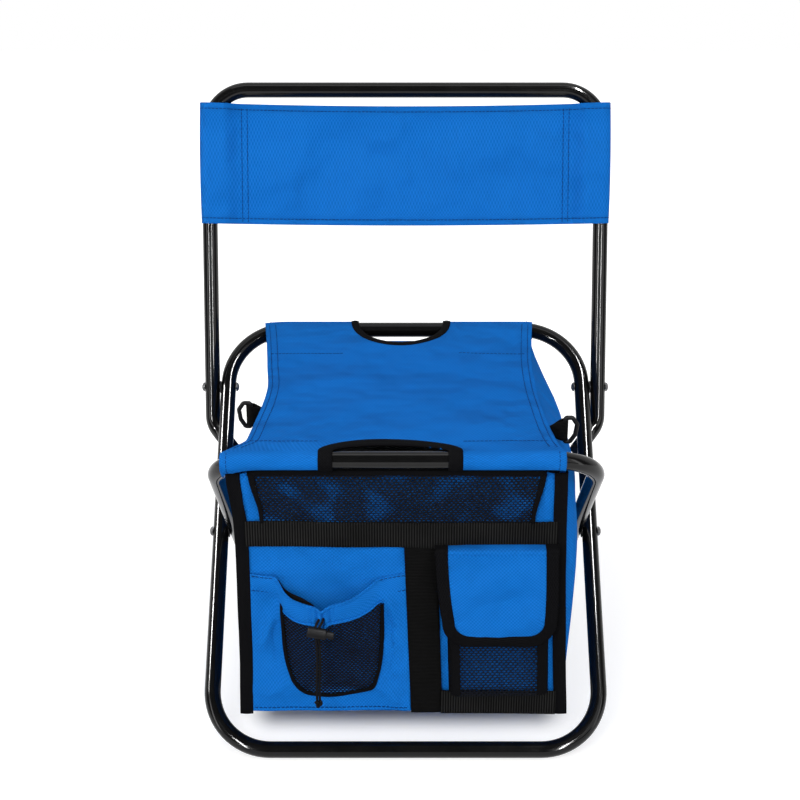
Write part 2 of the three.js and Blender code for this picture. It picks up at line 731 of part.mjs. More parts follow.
const boxNetPoint = (u, v, side) => {
  const z = mix(boxLow + boxWall + gap, boxHigh - bindingWidth - gap, v);
  return vec(mix(netX0, netX1, u), boxFace + netThickness * (1 - side), z);
};
const boxNet = sheet(pocketNetColumns, pocketNetRows, boxNetPoint, netHoleShare);
add(stool, "flap_pocket_net", boxNet, blackNet);

const flapGroup = new THREE.Group();
const flapBack = boxFace - gap;
const innerFlap = flapOutline(
  flapX0 + bindingWidth,
  flapLow + bindingWidth,
  flapX1 - bindingWidth,
  flapTop,
  Math.max(flapCorner - bindingWidth, 1),
);
add(flapGroup, "pocket_flap", plate(innerFlap, flapBack - flapThickness, flapThickness), blueCloth);
const flapRim = flapOutline(flapX0, flapLow, flapX1, flapTop, flapCorner);
const flapHollow = flapOutline(
  flapX0 + bindingWidth - gap,
  flapLow + bindingWidth - gap,
  flapX1 - bindingWidth + gap,
  flapTop + gap,
  Math.max(flapCorner - bindingWidth, 1),
);
const flapBorder = cut(
  plate(flapRim, flapBack - flapThickness, flapThickness),
  plate(flapHollow, flapBack - 2 * flapThickness, 3 * flapThickness),
);
add(flapGroup, "pocket_flap_binding", flapBorder, blackCloth);
const rootStrip = rectangle(flapX0, flapTop - webbingThickness, flapX1, flapTop);
add(stool, "pocket_flap_root", plate(rootStrip, flapBack, boxPocketDepth), blackCloth);
stool.add(flapGroup);

// Drawstring pocket: a net pouch that swells from the front, gathered in a hem whose mouth dips in the middle
const pouchLow = bagFloorHeight + pouchFloor;
const mouthHigh = bagFloorHeight + pouchMouthHeight;
const pouchX0 = -panelHalf + pouchOuterGap;
const pouchX1 = centreWebbingX - centreHalf - pouchInnerGap;
const pouchX = (u) => mix(pouchX0, pouchX1, u);
const mouthHeight = (u) => mouthHigh - pouchMouthDip * Math.sin(Math.PI * u) ** 1.5;
const mouthDepth = (u) => pouchDepth * Math.sin(Math.PI * u);
const hemPoints = [];
for (let step = 0; step <= hemSteps; step++) {
  const u = step / hemSteps;
  hemPoints.push(vec(pouchX(u), frontFace - hemRadius - gap - mouthDepth(u), mouthHeight(u)));
}
const hemTube = sweptTube(hemPoints, { diameter: 2 * hemRadius, sides: 10, normal: vec(0, 0, 1) });
add(stool, "drawstring_hem", hemTube, blueCloth);
const pouchPoint = (u, v, side) => {
  const low = pouchLow + pouchCornerRise * (2 * u - 1) ** 4;
  const z = mix(low, mouthHeight(u) - pouchNetDrop, v);
  const swell = Math.sin(Math.PI * u) * Math.sin(Math.min(v / pouchFullShare, 1) * (Math.PI / 2));
  const y = frontFace - swell * (pouchDepth + hemRadius) - side * netThickness;
  return vec(pouchX(u), y, z);
};
const pouchNet = sheet(pocketNetColumns, pocketNetRows, pouchPoint, netHoleShare);
add(stool, "drawstring_net", pouchNet, blackNet);

// The cord leaves the hem left of its lowest point, runs through the lock and hangs in two strands to a knot
const cordX = pouchX(lockShare);
const lockReach = hemRadius + lockDiameter / 2 + gap;
const cordY = frontFace - hemRadius - gap - pouchDepth - Math.sqrt(lockReach ** 2 - lockDrop ** 2);
const cordTop = mouthHigh - pouchMouthDip - lockDrop;
const lockGroup = new THREE.Group();
lockGroup.position.set(cordX, cordY, cordTop);
const slotHalf = cordDiameter + 2 * gap;
const lockBore = new THREE.BoxGeometry(2 * slotHalf, slotHalf, 2 * lockDiameter);
const plungerBore = rodAlongX(0, lockLength, plungerDiameter + 2 * gap);
const lockBody = cut(rodAlongX(-lockLength / 2, lockLength / 2, lockDiameter), lockBore, plungerBore);
add(lockGroup, "cord_lock_body", lockBody, blackPlastic);
const plungerStart = slotHalf + gap + plungerTravel;
const plunger = rodAlongX(plungerStart, plungerStart + plungerLength, plungerDiameter);
add(lockGroup, "cord_lock_plunger", plunger, blackPlastic);
stool.add(lockGroup);

// Side tabs of webbing, each folded round the straight bar of a strap ring
for (const { tag, sign, ringY, tabReach } of sides) {
  const seatEdge = sign * seatOffset + seatHalfWidth(ringY) + gap;
  const loopInner = ringWire / 2 + 2 * gap;
  const loopOuter = loopInner + webbingThickness;
  const meet = Math.asin(webbingThickness / loopOuter);
  const shape = new THREE.Shape().moveTo(-tabReach, -webbingThickness);
  shape.absarc(0, 0, loopOuter, -Math.PI + meet, Math.PI - meet);
  shape.lineTo(-tabReach, webbingThickness);
  shape.holes.push(new THREE.Path().absarc(0, 0, loopInner, 0, 2 * Math.PI));
  const tabHeight = ringHeight - 2 * ringWire;
  const tab = new THREE.ExtrudeGeometry(shape, { depth: tabHeight, bevelEnabled: false, curveSegments: 8 });
  tab.translate(0, 0, -tabHeight / 2);
  const tabMesh = add(stool, `strap_tab_${tag}`, tab, blackCloth);
  tabMesh.position.set(sign * (seatEdge + tabReach), ringY, seatTop - ringDrop);
  tabMesh.rotation.z = sign < 0 ? Math.PI : 0;
  const halfHeight = (ringHeight - ringWire) / 2;
  const ringCorners = [
    vec(0, 0, -halfHeight),
    vec(sign * (ringReach - ringChamfer), 0, -halfHeight),
    vec(sign * ringReach, 0, ringChamfer - halfHeight),
    vec(sign * ringReach, 0, halfHeight - ringChamfer),
    vec(sign * (ringReach - ringChamfer), 0, halfHeight),
    vec(0, 0, halfHeight),
  ];
  const ringRadii = ringCorners.map(() => ringWire / 2);
  const ringPath = bentPath(ringCorners, ringRadii, true, 2);
  const ring = sweptTube(ringPath, { diameter: ringWire, sides: 8, closed: true, normal: vec(0, 1, 0) });
  add(stool, `strap_ring_${tag}`, ring, blackPlastic).position.copy(tabMesh.position);
}

// Zip across the back of the bag
const backFace = -bagFront + gap;
const zipHeight = bagRim - zipDrop;
const zipTape = rectangle(-zipHalfLength, zipHeight, zipHalfLength, zipHeight + zipTapeHeight);
add(stool, "zip_tape", plate(zipTape, backFace, webbingThickness), blackCloth);
const sliderX = zipHalfLength - sliderLength;
const sliderY = backFace + webbingThickness + gap + sliderDepth / 2;
const sliderZ = zipHeight + zipTapeHeight / 2;
const sliderBody = new THREE.BoxGeometry(sliderLength, sliderDepth, sliderHeight);
add(stool, "zip_slider", sliderBody, darkSteel).position.set(sliderX, sliderY, sliderZ);
const pullBody = new THREE.BoxGeometry(sliderLength / 2, pullThickness, pullLength);
const pullY = sliderY + (sliderDepth + pullThickness) / 2 + gap;
add(stool, "zip_pull", pullBody, darkSteel).position.set(sliderX, pullY, sliderZ - pullLength / 2);

// The origin lies on the floor, under the middle of everything but the cord
stool.updateMatrixWorld(true);
const extent = new THREE.Box3().setFromObject(stool, true);

const strandSpread = cordDiameter / 2 + gap / 2;
for (const { tag, sign } of sides) {
  const points = [];
  const strandSteps = 12;
  for (let step = 0; step <= strandSteps; step++) {
    points.push(vec(cordX + sign * strandSpread, cordY, cordTop - (cordLength * step) / strandSteps));
  }
  const strand = sweptTube(points, { diameter: cordDiameter, sides: 8, normal: vec(1, 0, 0) });
  add(stool, `drawstring_${tag}`, strand, blackCloth);
}
const knot = new THREE.SphereGeometry(knotDiameter / 2, 12, 8);
add(stool, "drawstring_knot", knot, blackCloth).position.set(
  cordX,
  cordY,
  cordTop - cordLength - gap - knotDiameter / 2,
);

stool.position.y = -(extent.min.y + extent.max.y) / 2;

export default stool;
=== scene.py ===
"""Looks of a folding cooler stool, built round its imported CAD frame.

Sizes are millimetres in the frame's own axes, turned to metres where a mesh is made: +Z up, front towards -Y.
"""
import math

import bmesh
import bpy
from mathutils import Matrix, Vector, noise


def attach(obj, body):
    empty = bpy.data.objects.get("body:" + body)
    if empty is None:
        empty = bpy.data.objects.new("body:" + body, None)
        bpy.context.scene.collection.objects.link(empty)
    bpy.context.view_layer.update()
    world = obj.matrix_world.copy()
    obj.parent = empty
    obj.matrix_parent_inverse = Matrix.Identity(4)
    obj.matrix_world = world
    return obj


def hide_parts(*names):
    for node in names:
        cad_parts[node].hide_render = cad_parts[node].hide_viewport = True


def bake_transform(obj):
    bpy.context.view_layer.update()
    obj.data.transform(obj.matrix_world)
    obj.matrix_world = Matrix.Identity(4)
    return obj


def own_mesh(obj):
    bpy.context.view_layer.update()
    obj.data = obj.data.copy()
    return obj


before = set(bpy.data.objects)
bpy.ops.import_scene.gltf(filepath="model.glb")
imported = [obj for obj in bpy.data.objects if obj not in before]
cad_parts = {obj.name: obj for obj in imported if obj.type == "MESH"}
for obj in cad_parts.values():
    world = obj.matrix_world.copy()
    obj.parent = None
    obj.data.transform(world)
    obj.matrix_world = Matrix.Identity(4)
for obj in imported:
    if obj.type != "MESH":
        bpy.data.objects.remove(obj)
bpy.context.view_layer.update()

MM = 0.001
TAU = 2 * math.pi
UPWARD, FORWARD, BACKWARD = (0, 0, 1), (0, -1, 0), (0, 1, 0)
SIDES = (("left", -1), ("right", 1))

# Camera, as the photo was taken: its focal length in pixels of the picture's width
PHOTO_WIDTH, FOCAL_PIXELS, SENSOR = 800, 1472, 36
CAMERA_X, CAMERA_DISTANCE, AIM_Z = -5.56, 1462, 307
CAMERA_TILT = math.radians(22.49)

# Studio: the world's strength on matte surfaces and in a gloss from in front, and the floor's share of glow
WORLD_LIGHT, DARK_FRONT, FLOOR_GLOW = 0.55, 0.12, 0.45
FLOOR_HALF = 4000

# Painted shadow on the floor under the bag, in metres
SHADE_Y, SHADE_HALF, SHADE_EDGE = 0.06, (0.13, 0.152), 0.04

# Lamps: name, place and aim in metres, power, size and the kind of surface that they light
LAMPS = (("key", (-0.7, -1.9, 1.7), (0, 0, 0.25), 25, (0.9, 0.9), "matte"),
         ("side_left", (-1.7, -1.1, 0.7), (0, 0, 0.4), 7, (0.3, 1.4), "all"),
         ("side_right", (1.7, -1.0, 0.7), (0, 0, 0.4), 4, (0.3, 1.4), "all"),
         ("glint_front", (-0.9, -1.8, 0.75), (0, 0, 0.45), 45, (0.06, 1.2), "gloss"),
         ("glint_front_right", (0.75, -1.8, 0.75), (0, 0, 0.45), 45, (0.06, 1.2), "gloss"),
         ("glint_left", (-1.8, -0.1, 1.4), (0, -0.1, 0.2), 130, (1.2, 0.12), "gloss"),
         ("glint_right", (0.88, -0.65, 2.2), (0.88, -0.4, 0), 130, (0.12, 0.9), "gloss"),
         ("fill", (1.4, -1.4, 1.2), (0, 0, 0.25), 6, (1.0, 1.6), "all"),
         ("top", (0, 0.0, 2.2), (0, 0, 0), 5.5, (1.8, 0.5), "all"))

# Frame
TUBE_R, TUBE_SIDES = 8, 40
OUTER_X, INNER_X, BACK_X = 190, 172.8, 207.2
PIVOT_Y, PIVOT_Z = -5.293, 160.721
SEAT_HALF, FOOT_HALF = 170, 163
LEG_RISE, LEG_RUN = 312, SEAT_HALF + FOOT_HALF
LEG_ANGLE = math.atan2(LEG_RISE, LEG_RUN)
SEAT_LENGTH = math.hypot(LEG_RUN, LEG_RISE) * SEAT_HALF / LEG_RUN
FOOT_LENGTH = math.hypot(LEG_RUN, LEG_RISE) * FOOT_HALF / LEG_RUN
OUTER_FOOT_R, OUTER_TOP_R, INNER_R, BACK_TOP_R, TAIL_R = 59, 64, 47, 42, 20
BACK_AT = SEAT_LENGTH - 69
BACK_Y, BACK_Z = PIVOT_Y + 119.648, 272.823
BACK_LEAN = math.radians(15.5)
BACK_LENGTH = 314
TAIL_DROP, TAIL_END, TAIL_X, TAIL_BEHIND = 40, 66, 184, 16.6

# Pieces that ride on these bodies keep the mesh they were built with. The others get a mesh of their own
FRAME_BODIES = ("outer_frame", "inner_frame", "backrest")

# Backrest band: the cloth behind the uprights lies further back than BAND_BEHIND
BAND_LOW, BAND_HIGH = 175, 301
BAND_WRAP, BAND_SEAM, BAND_HEM, BAND_HALF = 8.9, 173, 6, 217
BAND_SLACK, BAND_BACK_RUN, BAND_BACK_OUT, BAND_BEHIND = 1.6, 14.0, -1.7, -1.65

# Seat sling: left and right edge by distance from the leg pivot, towards the back
CLOTH_WRAP, SEAT_SAG = 9.0, 6
SEAT_SPAN = 2 * SEAT_HALF
LEFT_EDGE = [(-170, -165), (-158, -154), (-144, -144), (-100, -141), (-51, -137), (-12, -136), (50, -141),
             (115, -147), (170, -153)]
RIGHT_EDGE = [(-170, 141), (-150, 136), (-120, 133), (-60, 130.5), (1, 129), (56, 130), (115, 134),
              (170, 139)]
FRONT_HOLE = {"x": -14, "half": 51, "depth": 27, "tape": 13, "seam": 24}
REAR_HOLE = {"x": -4.6, "half": 46, "depth": 66, "tape": 8, "seam": 86}

# Bag front: left and right edge by height
BAG_LOW, BAG_TOP, BAG_HALF = 53, 309, 166
BAG_FRONT, BAG_REAR = PIVOT_Y - BAG_HALF, PIVOT_Y + BAG_HALF
BAG_LEFT = [(53, -157), (130, -155), (217, -154.5), (252, -155), (300, -160)]
BAG_RIGHT = [(53, 152.5), (130, 148.5), (218, 145), (300, 143.3)]
BINDING_TOP = 306

# Thread and net
STITCH_LENGTH, STITCH_GAP, STITCH_WIDTH, STITCH_STEP = 3.4, 0.3, 0.48, 0.5
THREAD_LIFT = 0.15
NET_THICKNESS = 0.5


def slope_at(table, i):
    """Slope of the curve through a row of a table, flat at a peak or a dip."""
    rows = table[max(i - 1, 0):i + 2]
    slopes = [(v1 - v0) / (t1 - t0) for (t0, v0), (t1, v1) in zip(rows, rows[1:])]
    if len(slopes) < 2:
        return slopes[0]
    before, after = slopes
    return 0 if before * after <= 0 else 2 * before * after / (before + after)


def interpolate(table, t):
    """A value from rows of (key, value), on a smooth curve that never overshoots a row."""
    if t <= table[0][0]:
        return table[0][1]
    for i, ((t0, v0), (t1, v1)) in enumerate(zip(table, table[1:])):
        if t <= t1:
            span = t1 - t0
            s = (t - t0) / span
            start, end = slope_at(table, i) * span, slope_at(table, i + 1) * span
            bend = s * (1 - s) * ((1 - s) * (start - v1 + v0) - s * (end - v1 + v0))
            return mix(v0, v1, s) + bend
    return table[-1][1]


def mix(a, b, t):
    return a + (b - a) * t


def clamp(t):
    return min(max(t, 0), 1)


def smooth(low, high, t):
    s = clamp((t - low) / (high - low))
    return s * s * (3 - 2 * s)


def arch(t):
    """0 at both ends of a run from 0 to 1, and 1 in its middle."""
    return math.sin(math.pi * t)


def bell(distance, width):
    return math.exp(-(distance / width) ** 2)


def ripple(x, y, z, scale, seed=0):
    """Even, repeatable noise between about -1 and 1, with waves about scale long."""
    return noise.noise(Vector((x / scale + seed, y / scale, z / scale)))


def along_points(points, share):
    """A row of numbers between two neighbours in a list of rows, share of the way down the list."""
    at = share * (len(points) - 1)
    i = min(int(at), len(points) - 2)
    return [mix(a, b, at - i) for a, b in zip(points[i], points[i + 1])]


def on_leg(x, along, lift, inner=False):
    """A point on a leg loop: along runs up the leg from its pivot, lift is square to the loop."""
    angle = math.pi - LEG_ANGLE if inner else LEG_ANGLE
    y = PIVOT_Y + along * math.cos(angle) - lift * math.sin(angle)
    return Vector((x, y, PIVOT_Z + along * math.sin(angle) + lift * math.cos(angle)))


def on_back(x, along, out):
    """A point on the backrest: along runs up the uprights from their pivot, out faces the sitter."""
    y = BACK_Y + along * math.sin(BACK_LEAN) - out * math.cos(BACK_LEAN)
    return Vector((x, y, BACK_Z + along * math.cos(BACK_LEAN) + out * math.sin(BACK_LEAN)))


# Materials

def plug(socket, value):
    """Gives a socket a plain value, or links another node's output to it."""
    if isinstance(value, bpy.types.NodeSocket):
        socket.id_data.links.new(value, socket)
    else:
        socket.default_value = value


def node(tree, kind, **inputs):
    made = tree.nodes.new(kind)
    for name, value in inputs.items():
        plug(made.inputs[name], value)
    return made


def calc(tree, operation, a, b=0.0):
    made = tree.nodes.new("ShaderNodeMath")
    made.operation = operation
    plug(made.inputs[0], a)
    plug(made.inputs[1], b)
    return made.outputs[0]


def ramp(tree, value, start, end, low, high):
    """Goes smoothly from low to high as value goes from start to end."""
    limits = {"From Min": start, "From Max": end, "To Min": low, "To Max": high}
    made = node(tree, "ShaderNodeMapRange", Value=value, **limits)
    made.interpolation_type = "SMOOTHSTEP"
    return made.outputs[0]


def blend_colour(tree, factor, dark, light):
    made = tree.nodes.new("ShaderNodeMix")
    made.data_type = "RGBA"
    plug(made.inputs[0], factor)
    plug(made.inputs[6], (*dark, 1))
    plug(made.inputs[7], (*light, 1))
    return made.outputs[2]


def new_material(name, roughness, gloss, metallic=0.0):
    material = bpy.data.materials.new(name)
    material.use_nodes = True
    shader = material.node_tree.nodes["Principled BSDF"]
    plug(shader.inputs["Roughness"], roughness)
    plug(shader.inputs["Specular IOR Level"], gloss)
    plug(shader.inputs["Metallic"], metallic)
    return material, material.node_tree, shader


def wave(tree, axis, length):
    """A sine along one axis of the UV map, which is in millimetres."""
    uv = node(tree, "ShaderNodeUVMap").outputs[0]
    split = node(tree, "ShaderNodeSeparateXYZ", Vector=uv)
    return calc(tree, "SINE", calc(tree, "MULTIPLY", split.outputs[axis], TAU / length))


def threads(tree, pitch):
    """Height of a plain weave."""
    product = calc(tree, "MULTIPLY", wave(tree, 0, pitch), wave(tree, 1, pitch))
    return calc(tree, "MULTIPLY", calc(tree, "ADD", product, 1.0), 0.5)


def patches(tree, scale, detail=3.0):
    place = node(tree, "ShaderNodeTexCoord").outputs["Object"]
    return node(tree, "ShaderNodeTexNoise", Vector=place, Scale=scale, Detail=detail).outputs[0]


def add_bump(tree, shader, height, strength, distance, under=None):
    bump = node(tree, "ShaderNodeBump", Strength=strength, Distance=distance, Height=height)
    if under:
        plug(bump.inputs["Normal"], under.outputs[0])
    plug(shader.inputs["Normal"], bump.outputs[0])
    return bump


def cloth_material(name, dark, light, pitch, crumple=0.0):
    """Plain weave, with soft creases where crumple is more than 0."""
    material, tree, shader = new_material(name, 0.85, 0.015)
    weave = threads(tree, pitch)
    blotches = calc(tree, "MULTIPLY", patches(tree, 14), 0.2)
    tone = calc(tree, "ADD", calc(tree, "MULTIPLY", weave, 0.8), blotches)
    plug(shader.inputs["Base Color"], blend_colour(tree, tone, dark, light))
    soft = add_bump(tree, shader, patches(tree, 15, 2.0), crumple, 0.04) if crumple else None
    add_bump(tree, shader, weave, 0.6, 0.0005, soft)
    return material


def webbing_material(name, pitch, light):
    """Ribs across the strip, pitch apart. Their crests are painted lighter than their grooves, as a painted
    highlight.
    """
    material, tree, shader = new_material(name, 0.8, 0.025)
    ridge = calc(tree, "ABSOLUTE", wave(tree, 1, 2 * pitch))
    # Painted highlight: the crests of the ribs are coloured light, more strongly in some patches than in
    # others
    patchy_rib_highlight = calc(tree, "ADD", patches(tree, 30), 0.3)
    tone = calc(tree, "MULTIPLY", calc(tree, "POWER", ridge, 3.0), patchy_rib_highlight)
    colour = blend_colour(tree, tone, (0.0008, 0.0008, 0.0008), (light, light, light))
    plug(shader.inputs["Base Color"], colour)
    add_bump(tree, shader, ridge, 0.8, 0.0007)
    return material


def plain_material(name, dark, light, roughness, scale, bump, gloss, metallic=0.0):
    """One colour with a fine grain: scale is the grain's, bump its height."""
    material, tree, shader = new_material(name, roughness, gloss, metallic)
    grain = patches(tree, scale)
    plug(shader.inputs["Base Color"], blend_colour(tree, grain, dark, light))
    spread = calc(tree, "ADD", calc(tree, "MULTIPLY", grain, 0.12), roughness - 0.06)
    plug(shader.inputs["Roughness"], spread)
    add_bump(tree, shader, grain, bump, 0.0003)
    return material


BLUE = cloth_material("blue_polyester", (0.0, 0.100, 0.385), (0.010, 0.160, 0.575), 3.4, 0.6)
BLACK_TAPE = cloth_material("black_binding", (0.001, 0.001, 0.0015), (0.006, 0.006, 0.007), 2.4)
WEB_ACROSS = webbing_material("webbing_ribs", 2.4, 0.019)
WEB_FINE = webbing_material("webbing_fine", 1.5, 0.006)
NET = plain_material("net_thread", (0.002, 0.003, 0.006), (0.006, 0.008, 0.015), 0.8, 400, 0.2, 0.03)
# Seam thread: a darker blue than the cloth, which paints the shade along the seams
THREAD = plain_material("seam_thread", (0.001, 0.032, 0.13), (0.003, 0.058, 0.24), 0.8, 500, 0.2, 0.03)
PAINT = plain_material("black_tube", (0.002, 0.002, 0.0022), (0.004, 0.004, 0.0042), 0.13, 60, 0.03, 0.25)
STEEL = plain_material("rivet_steel", (0.05, 0.05, 0.052), (0.12, 0.12, 0.125), 0.35, 300, 0.1, 0.5, 1.0)
PLASTIC = plain_material("black_plastic", (0.002, 0.002, 0.003), (0.006, 0.006, 0.007), 0.5, 220, 0.15, 0.08)
CORD = plain_material("cord_braid", (0.002, 0.002, 0.003), (0.009, 0.009, 0.01), 0.8, 900, 0.6, 0.03)
FOIL = plain_material("foil_liner", (0.2, 0.205, 0.21), (0.34, 0.345, 0.35), 0.35, 45, 0.5, 0.5, 0.6)


# Building pieces

def add_object(name, data):
    obj = bpy.data.objects.new(name, data)
    bpy.context.scene.collection.objects.link(obj)
    return obj


def piece(name, verts, faces, material, uvs=None):
    """A mesh object from millimetre points, with a UV in millimetres for each vertex."""
    mesh = bpy.data.meshes.new(name)
    mesh.from_pydata([Vector(v) * MM for v in verts], [], faces)
    if uvs:
        layer = mesh.uv_layers.new(name="cloth")
        for loop in mesh.loops:
            layer.data[loop.index].uv = uvs[loop.vertex_index]
    mesh.polygons.foreach_set("use_smooth", [True] * len(mesh.polygons))
    mesh.materials.append(material)
    return add_object(name, mesh)


def settle(obj):
    """Puts the result of the piece's modifiers into its mesh."""
    bpy.context.view_layer.update()
    made = obj.evaluated_get(bpy.context.evaluated_depsgraph_get())
    mesh = bpy.data.meshes.new_from_object(made)
    obj.modifiers.clear()
    obj.data = mesh
    return obj


def thicken(obj, thickness, offset=-1.0):
    solid = obj.modifiers.new("thickness", "SOLIDIFY")
    solid.thickness = thickness * MM
    solid.offset = offset
    solid.use_even_offset = False
    return settle(obj)


def surface(name, columns, rows, place, material, thickness, facing=None, keep=None):
    """A cloth sheet: place(u, v) gives a point. Its UV runs along the cloth in millimetres."""
    def at(i, j):
        return j * (columns + 1) + i

    def run(row):
        return sum((verts[b] - verts[a]).length for a, b in zip(row, row[1:]))

    grid = [(i, j) for j in range(rows + 1) for i in range(columns + 1)]
    verts = [place(i / columns, j / rows) for i, j in grid]
    width = run([at(i, rows // 2) for i in range(columns + 1)])
    height = run([at(columns // 2, j) for j in range(rows + 1)])
    uvs = [(width * i / columns, height * j / rows) for i, j in grid]
    faces = []
    for j in range(rows):
        for i in range(columns):
            if keep is None or keep((i + 0.5) / columns, (j + 0.5) / rows):
                faces.append((at(i, j), at(i + 1, j), at(i + 1, j + 1), at(i, j + 1)))
    obj = piece(name, verts, faces, material, uvs)
    drop_loose(obj)
    if facing and sum(f.area * f.normal.dot(Vector(facing)) for f in obj.data.polygons) < 0:
        obj.data.flip_normals()
    return thicken(obj, thickness)


def drop_loose(obj):
    mesh = bmesh.new()
    mesh.from_mesh(obj.data)
    loose = [v for v in mesh.verts if not v.link_faces]
    bmesh.ops.delete(mesh, geom=loose, context="VERTS")
    mesh.to_mesh(obj.data)
    mesh.free()


def bent_path(corners, radii, closed, steps=18):
    """Straight runs with an arc at each corner."""
    points = []
    count = len(corners)
    for i, corner in enumerate(corners):
        if not closed and i in (0, count - 1):
            points.append(corner.copy())
            continue
        to_last = (corners[i - 1] - corner).normalized()
        to_next = (corners[(i + 1) % count] - corner).normalized()
        half = to_last.angle(to_next) / 2
        start = corner + to_last * (radii[i] / math.tan(half))
        centre = corner + (to_last + to_next).normalized() * (radii[i] / math.sin(half))
        axis = to_last.cross(start - centre).normalized()
        for step in range(steps + 1):
            turn = (math.pi - 2 * half) * step / steps
            points.append(centre + Matrix.Rotation(turn, 3, axis) @ (start - centre))
    return points


def ring_faces(sides, count, closed=False):
    """Faces between rings of points, and back to the first ring if they are closed."""
    faces = []
    for i in range(count if closed else count - 1):
        here, there = i * sides, (i + 1) % count * sides
        for k in range(sides):
            n = (k + 1) % sides
            faces.append((here + k, here + n, there + n, there + k))
    return faces


def bar(name, points, radius, material, sides, closed=False):
    """A round bar along points. radius may be a function of the share along it."""
    count = len(points)
    verts, uvs = [], []
    across, last = None, None
    run = 0.0
    for i, point in enumerate(points):
        before = points[i - 1] if closed or i else point
        after = points[(i + 1) % count] if closed or i < count - 1 else point
        tangent = ((point - before).normalized() + (after - point).normalized()).normalized()
        if across is None:
            across = tangent.orthogonal().normalized()
        else:
            across = last.rotation_difference(tangent) @ across
            run += (point - points[i - 1]).length
        last = tangent
        outward = tangent.cross(across)
        size = radius(i / (count - 1)) if callable(radius) else radius
        for k in range(sides):
            angle = TAU * k / sides
            verts.append(point + (outward * math.cos(angle) + across * math.sin(angle)) * size)
            uvs.append((size * angle, run))
    faces = ring_faces(sides, count, closed)
    if not closed:
        faces.append(tuple(reversed(range(sides))))
        faces.append(tuple(range((count - 1) * sides, count * sides)))
    return piece(name, verts, faces, material, uvs)


def net(name, width, height, place, inside, pitch, row, gape):
    """Knitted net: six-sided cells with an open middle of a share gape(x, z), laid on place(x, z)."""
    verts, faces, seen = [], [], {}

    def vertex(x, z):
        key = (round(x * 20), round(z * 20))
        if key not in seen:
            seen[key] = len(verts)
            verts.append(place(x, z))
        return seen[key]

    rim = [(0, 2 / 3), (0.5, 1 / 3), (0.5, -1 / 3), (0, -2 / 3), (-0.5, -1 / 3), (-0.5, 1 / 3)]
    for j in range(int(height / row) + 1):
        for i in range(int(width / pitch) + 1):
            x = (i + (j % 2) / 2) * pitch
            z = j * row
            if not inside(x, z):
                continue
            outer = [vertex(x + a * pitch, z + b * row) for a, b in rim]
            hole = gape(x, z)
            inner = [vertex(x + a * pitch * hole, z + b * row * hole) for a, b in rim]
            for k in range(6):
                n = (k + 1) % 6
                faces.append((outer[k], outer[n], inner[n], inner[k]))
    return thicken(piece(name, verts, faces, NET), NET_THICKNESS, 0.0)


def stitches(name, runs):
    """Thread dashes along runs of points."""
    verts, faces = [], []
    for points in runs:
        fine = [points[0]]
        for a, b in zip(points, points[1:]):
            steps = max(1, int((b - a).length / STITCH_STEP))
            fine += [a.lerp(b, (k + 1) / steps) for k in range(steps)]
        done, start, sewn = 0.0, fine[0], False
        for a, b in zip(fine, fine[1:]):
            done += (b - a).length
            if done >= STITCH_LENGTH and not sewn:
                add_stitch(verts, faces, start, b, STITCH_WIDTH)
                sewn = True
            if done >= STITCH_LENGTH + STITCH_GAP:
                done, start, sewn = 0.0, b, False
    return piece(name, verts, faces, THREAD)


def add_stitch(verts, faces, a, b, width):
    """One dash: a square bar that tapers at both ends."""
    first = len(verts)
    along = (b - a).normalized()
    side = along.orthogonal().normalized() * width
    up = along.cross(side)
    verts.append(a)
    for point in (a.lerp(b, 0.2), a.lerp(b, 0.8)):
        verts.extend([point + side, point + up, point - side, point - up])
    verts.append(b)
    for k in range(4):
        n = (k + 1) % 4
        faces.append((first, first + 1 + n, first + 1 + k))
        faces.append((first + 1 + k, first + 1 + n, first + 5 + n, first + 5 + k))
        faces.append((first + 9, first + 5 + k, first + 5 + n))


def stands_for(nodes):
    """Hides the CAD nodes that a piece stands for."""
    if nodes:
        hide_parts(*nodes)


def belongs(obj, body, slot, *nodes):
    """Rides a piece on its body and hides the CAD nodes that it stands for. A piece off the frame gets a mesh
    of its own.
    """
    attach(obj, body)
    stands_for(nodes)
    if body not in FRAME_BODIES:
        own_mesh(obj)


def spans_loops(obj, slot, *nodes):
    """A piece of the seat between the two loops: its place is baked into its mesh, and the CAD nodes that it
    stands for are hidden.
    """
    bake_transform(obj)
    stands_for(nodes)


# Camera and light

def make_camera():
    camera = add_object("camera", bpy.data.cameras.new("camera"))
    y = PIVOT_Y - CAMERA_DISTANCE * math.cos(CAMERA_TILT)
    z = AIM_Z + CAMERA_DISTANCE * math.sin(CAMERA_TILT)
    camera.location = Vector((CAMERA_X, y, z)) * MM
    camera.rotation_euler = (math.pi / 2 - CAMERA_TILT, 0, 0)
    camera.data.sensor_width = SENSOR
    camera.data.lens = FOCAL_PIXELS * SENSOR / PHOTO_WIDTH
    camera.data.clip_end = 50
    bpy.context.scene.camera = camera


def make_lamp(name, place, aim, power, size, lights):
    lamp = add_object(name, bpy.data.lights.new(name, "AREA"))
    lamp.location = place
    lamp.rotation_euler = (Vector(aim) - Vector(place)).to_track_quat("-Z", "Y").to_euler()
    lamp.data.energy = power
    lamp.data.shape = "RECTANGLE"
    lamp.data.size, lamp.data.size_y = size
    lamp.visible_glossy = lights != "matte"
    lamp.visible_diffuse = lights != "gloss"


def seen_rays(tree):
    """1 for what the camera, a gloss or clear material sees directly."""
    path = tree.nodes.new("ShaderNodeLightPath")
    either = calc(tree, "MAXIMUM", path.outputs["Is Camera Ray"], path.outputs["Is Glossy Ray"])
    return calc(tree, "MAXIMUM", either, path.outputs["Is Transmission Ray"])


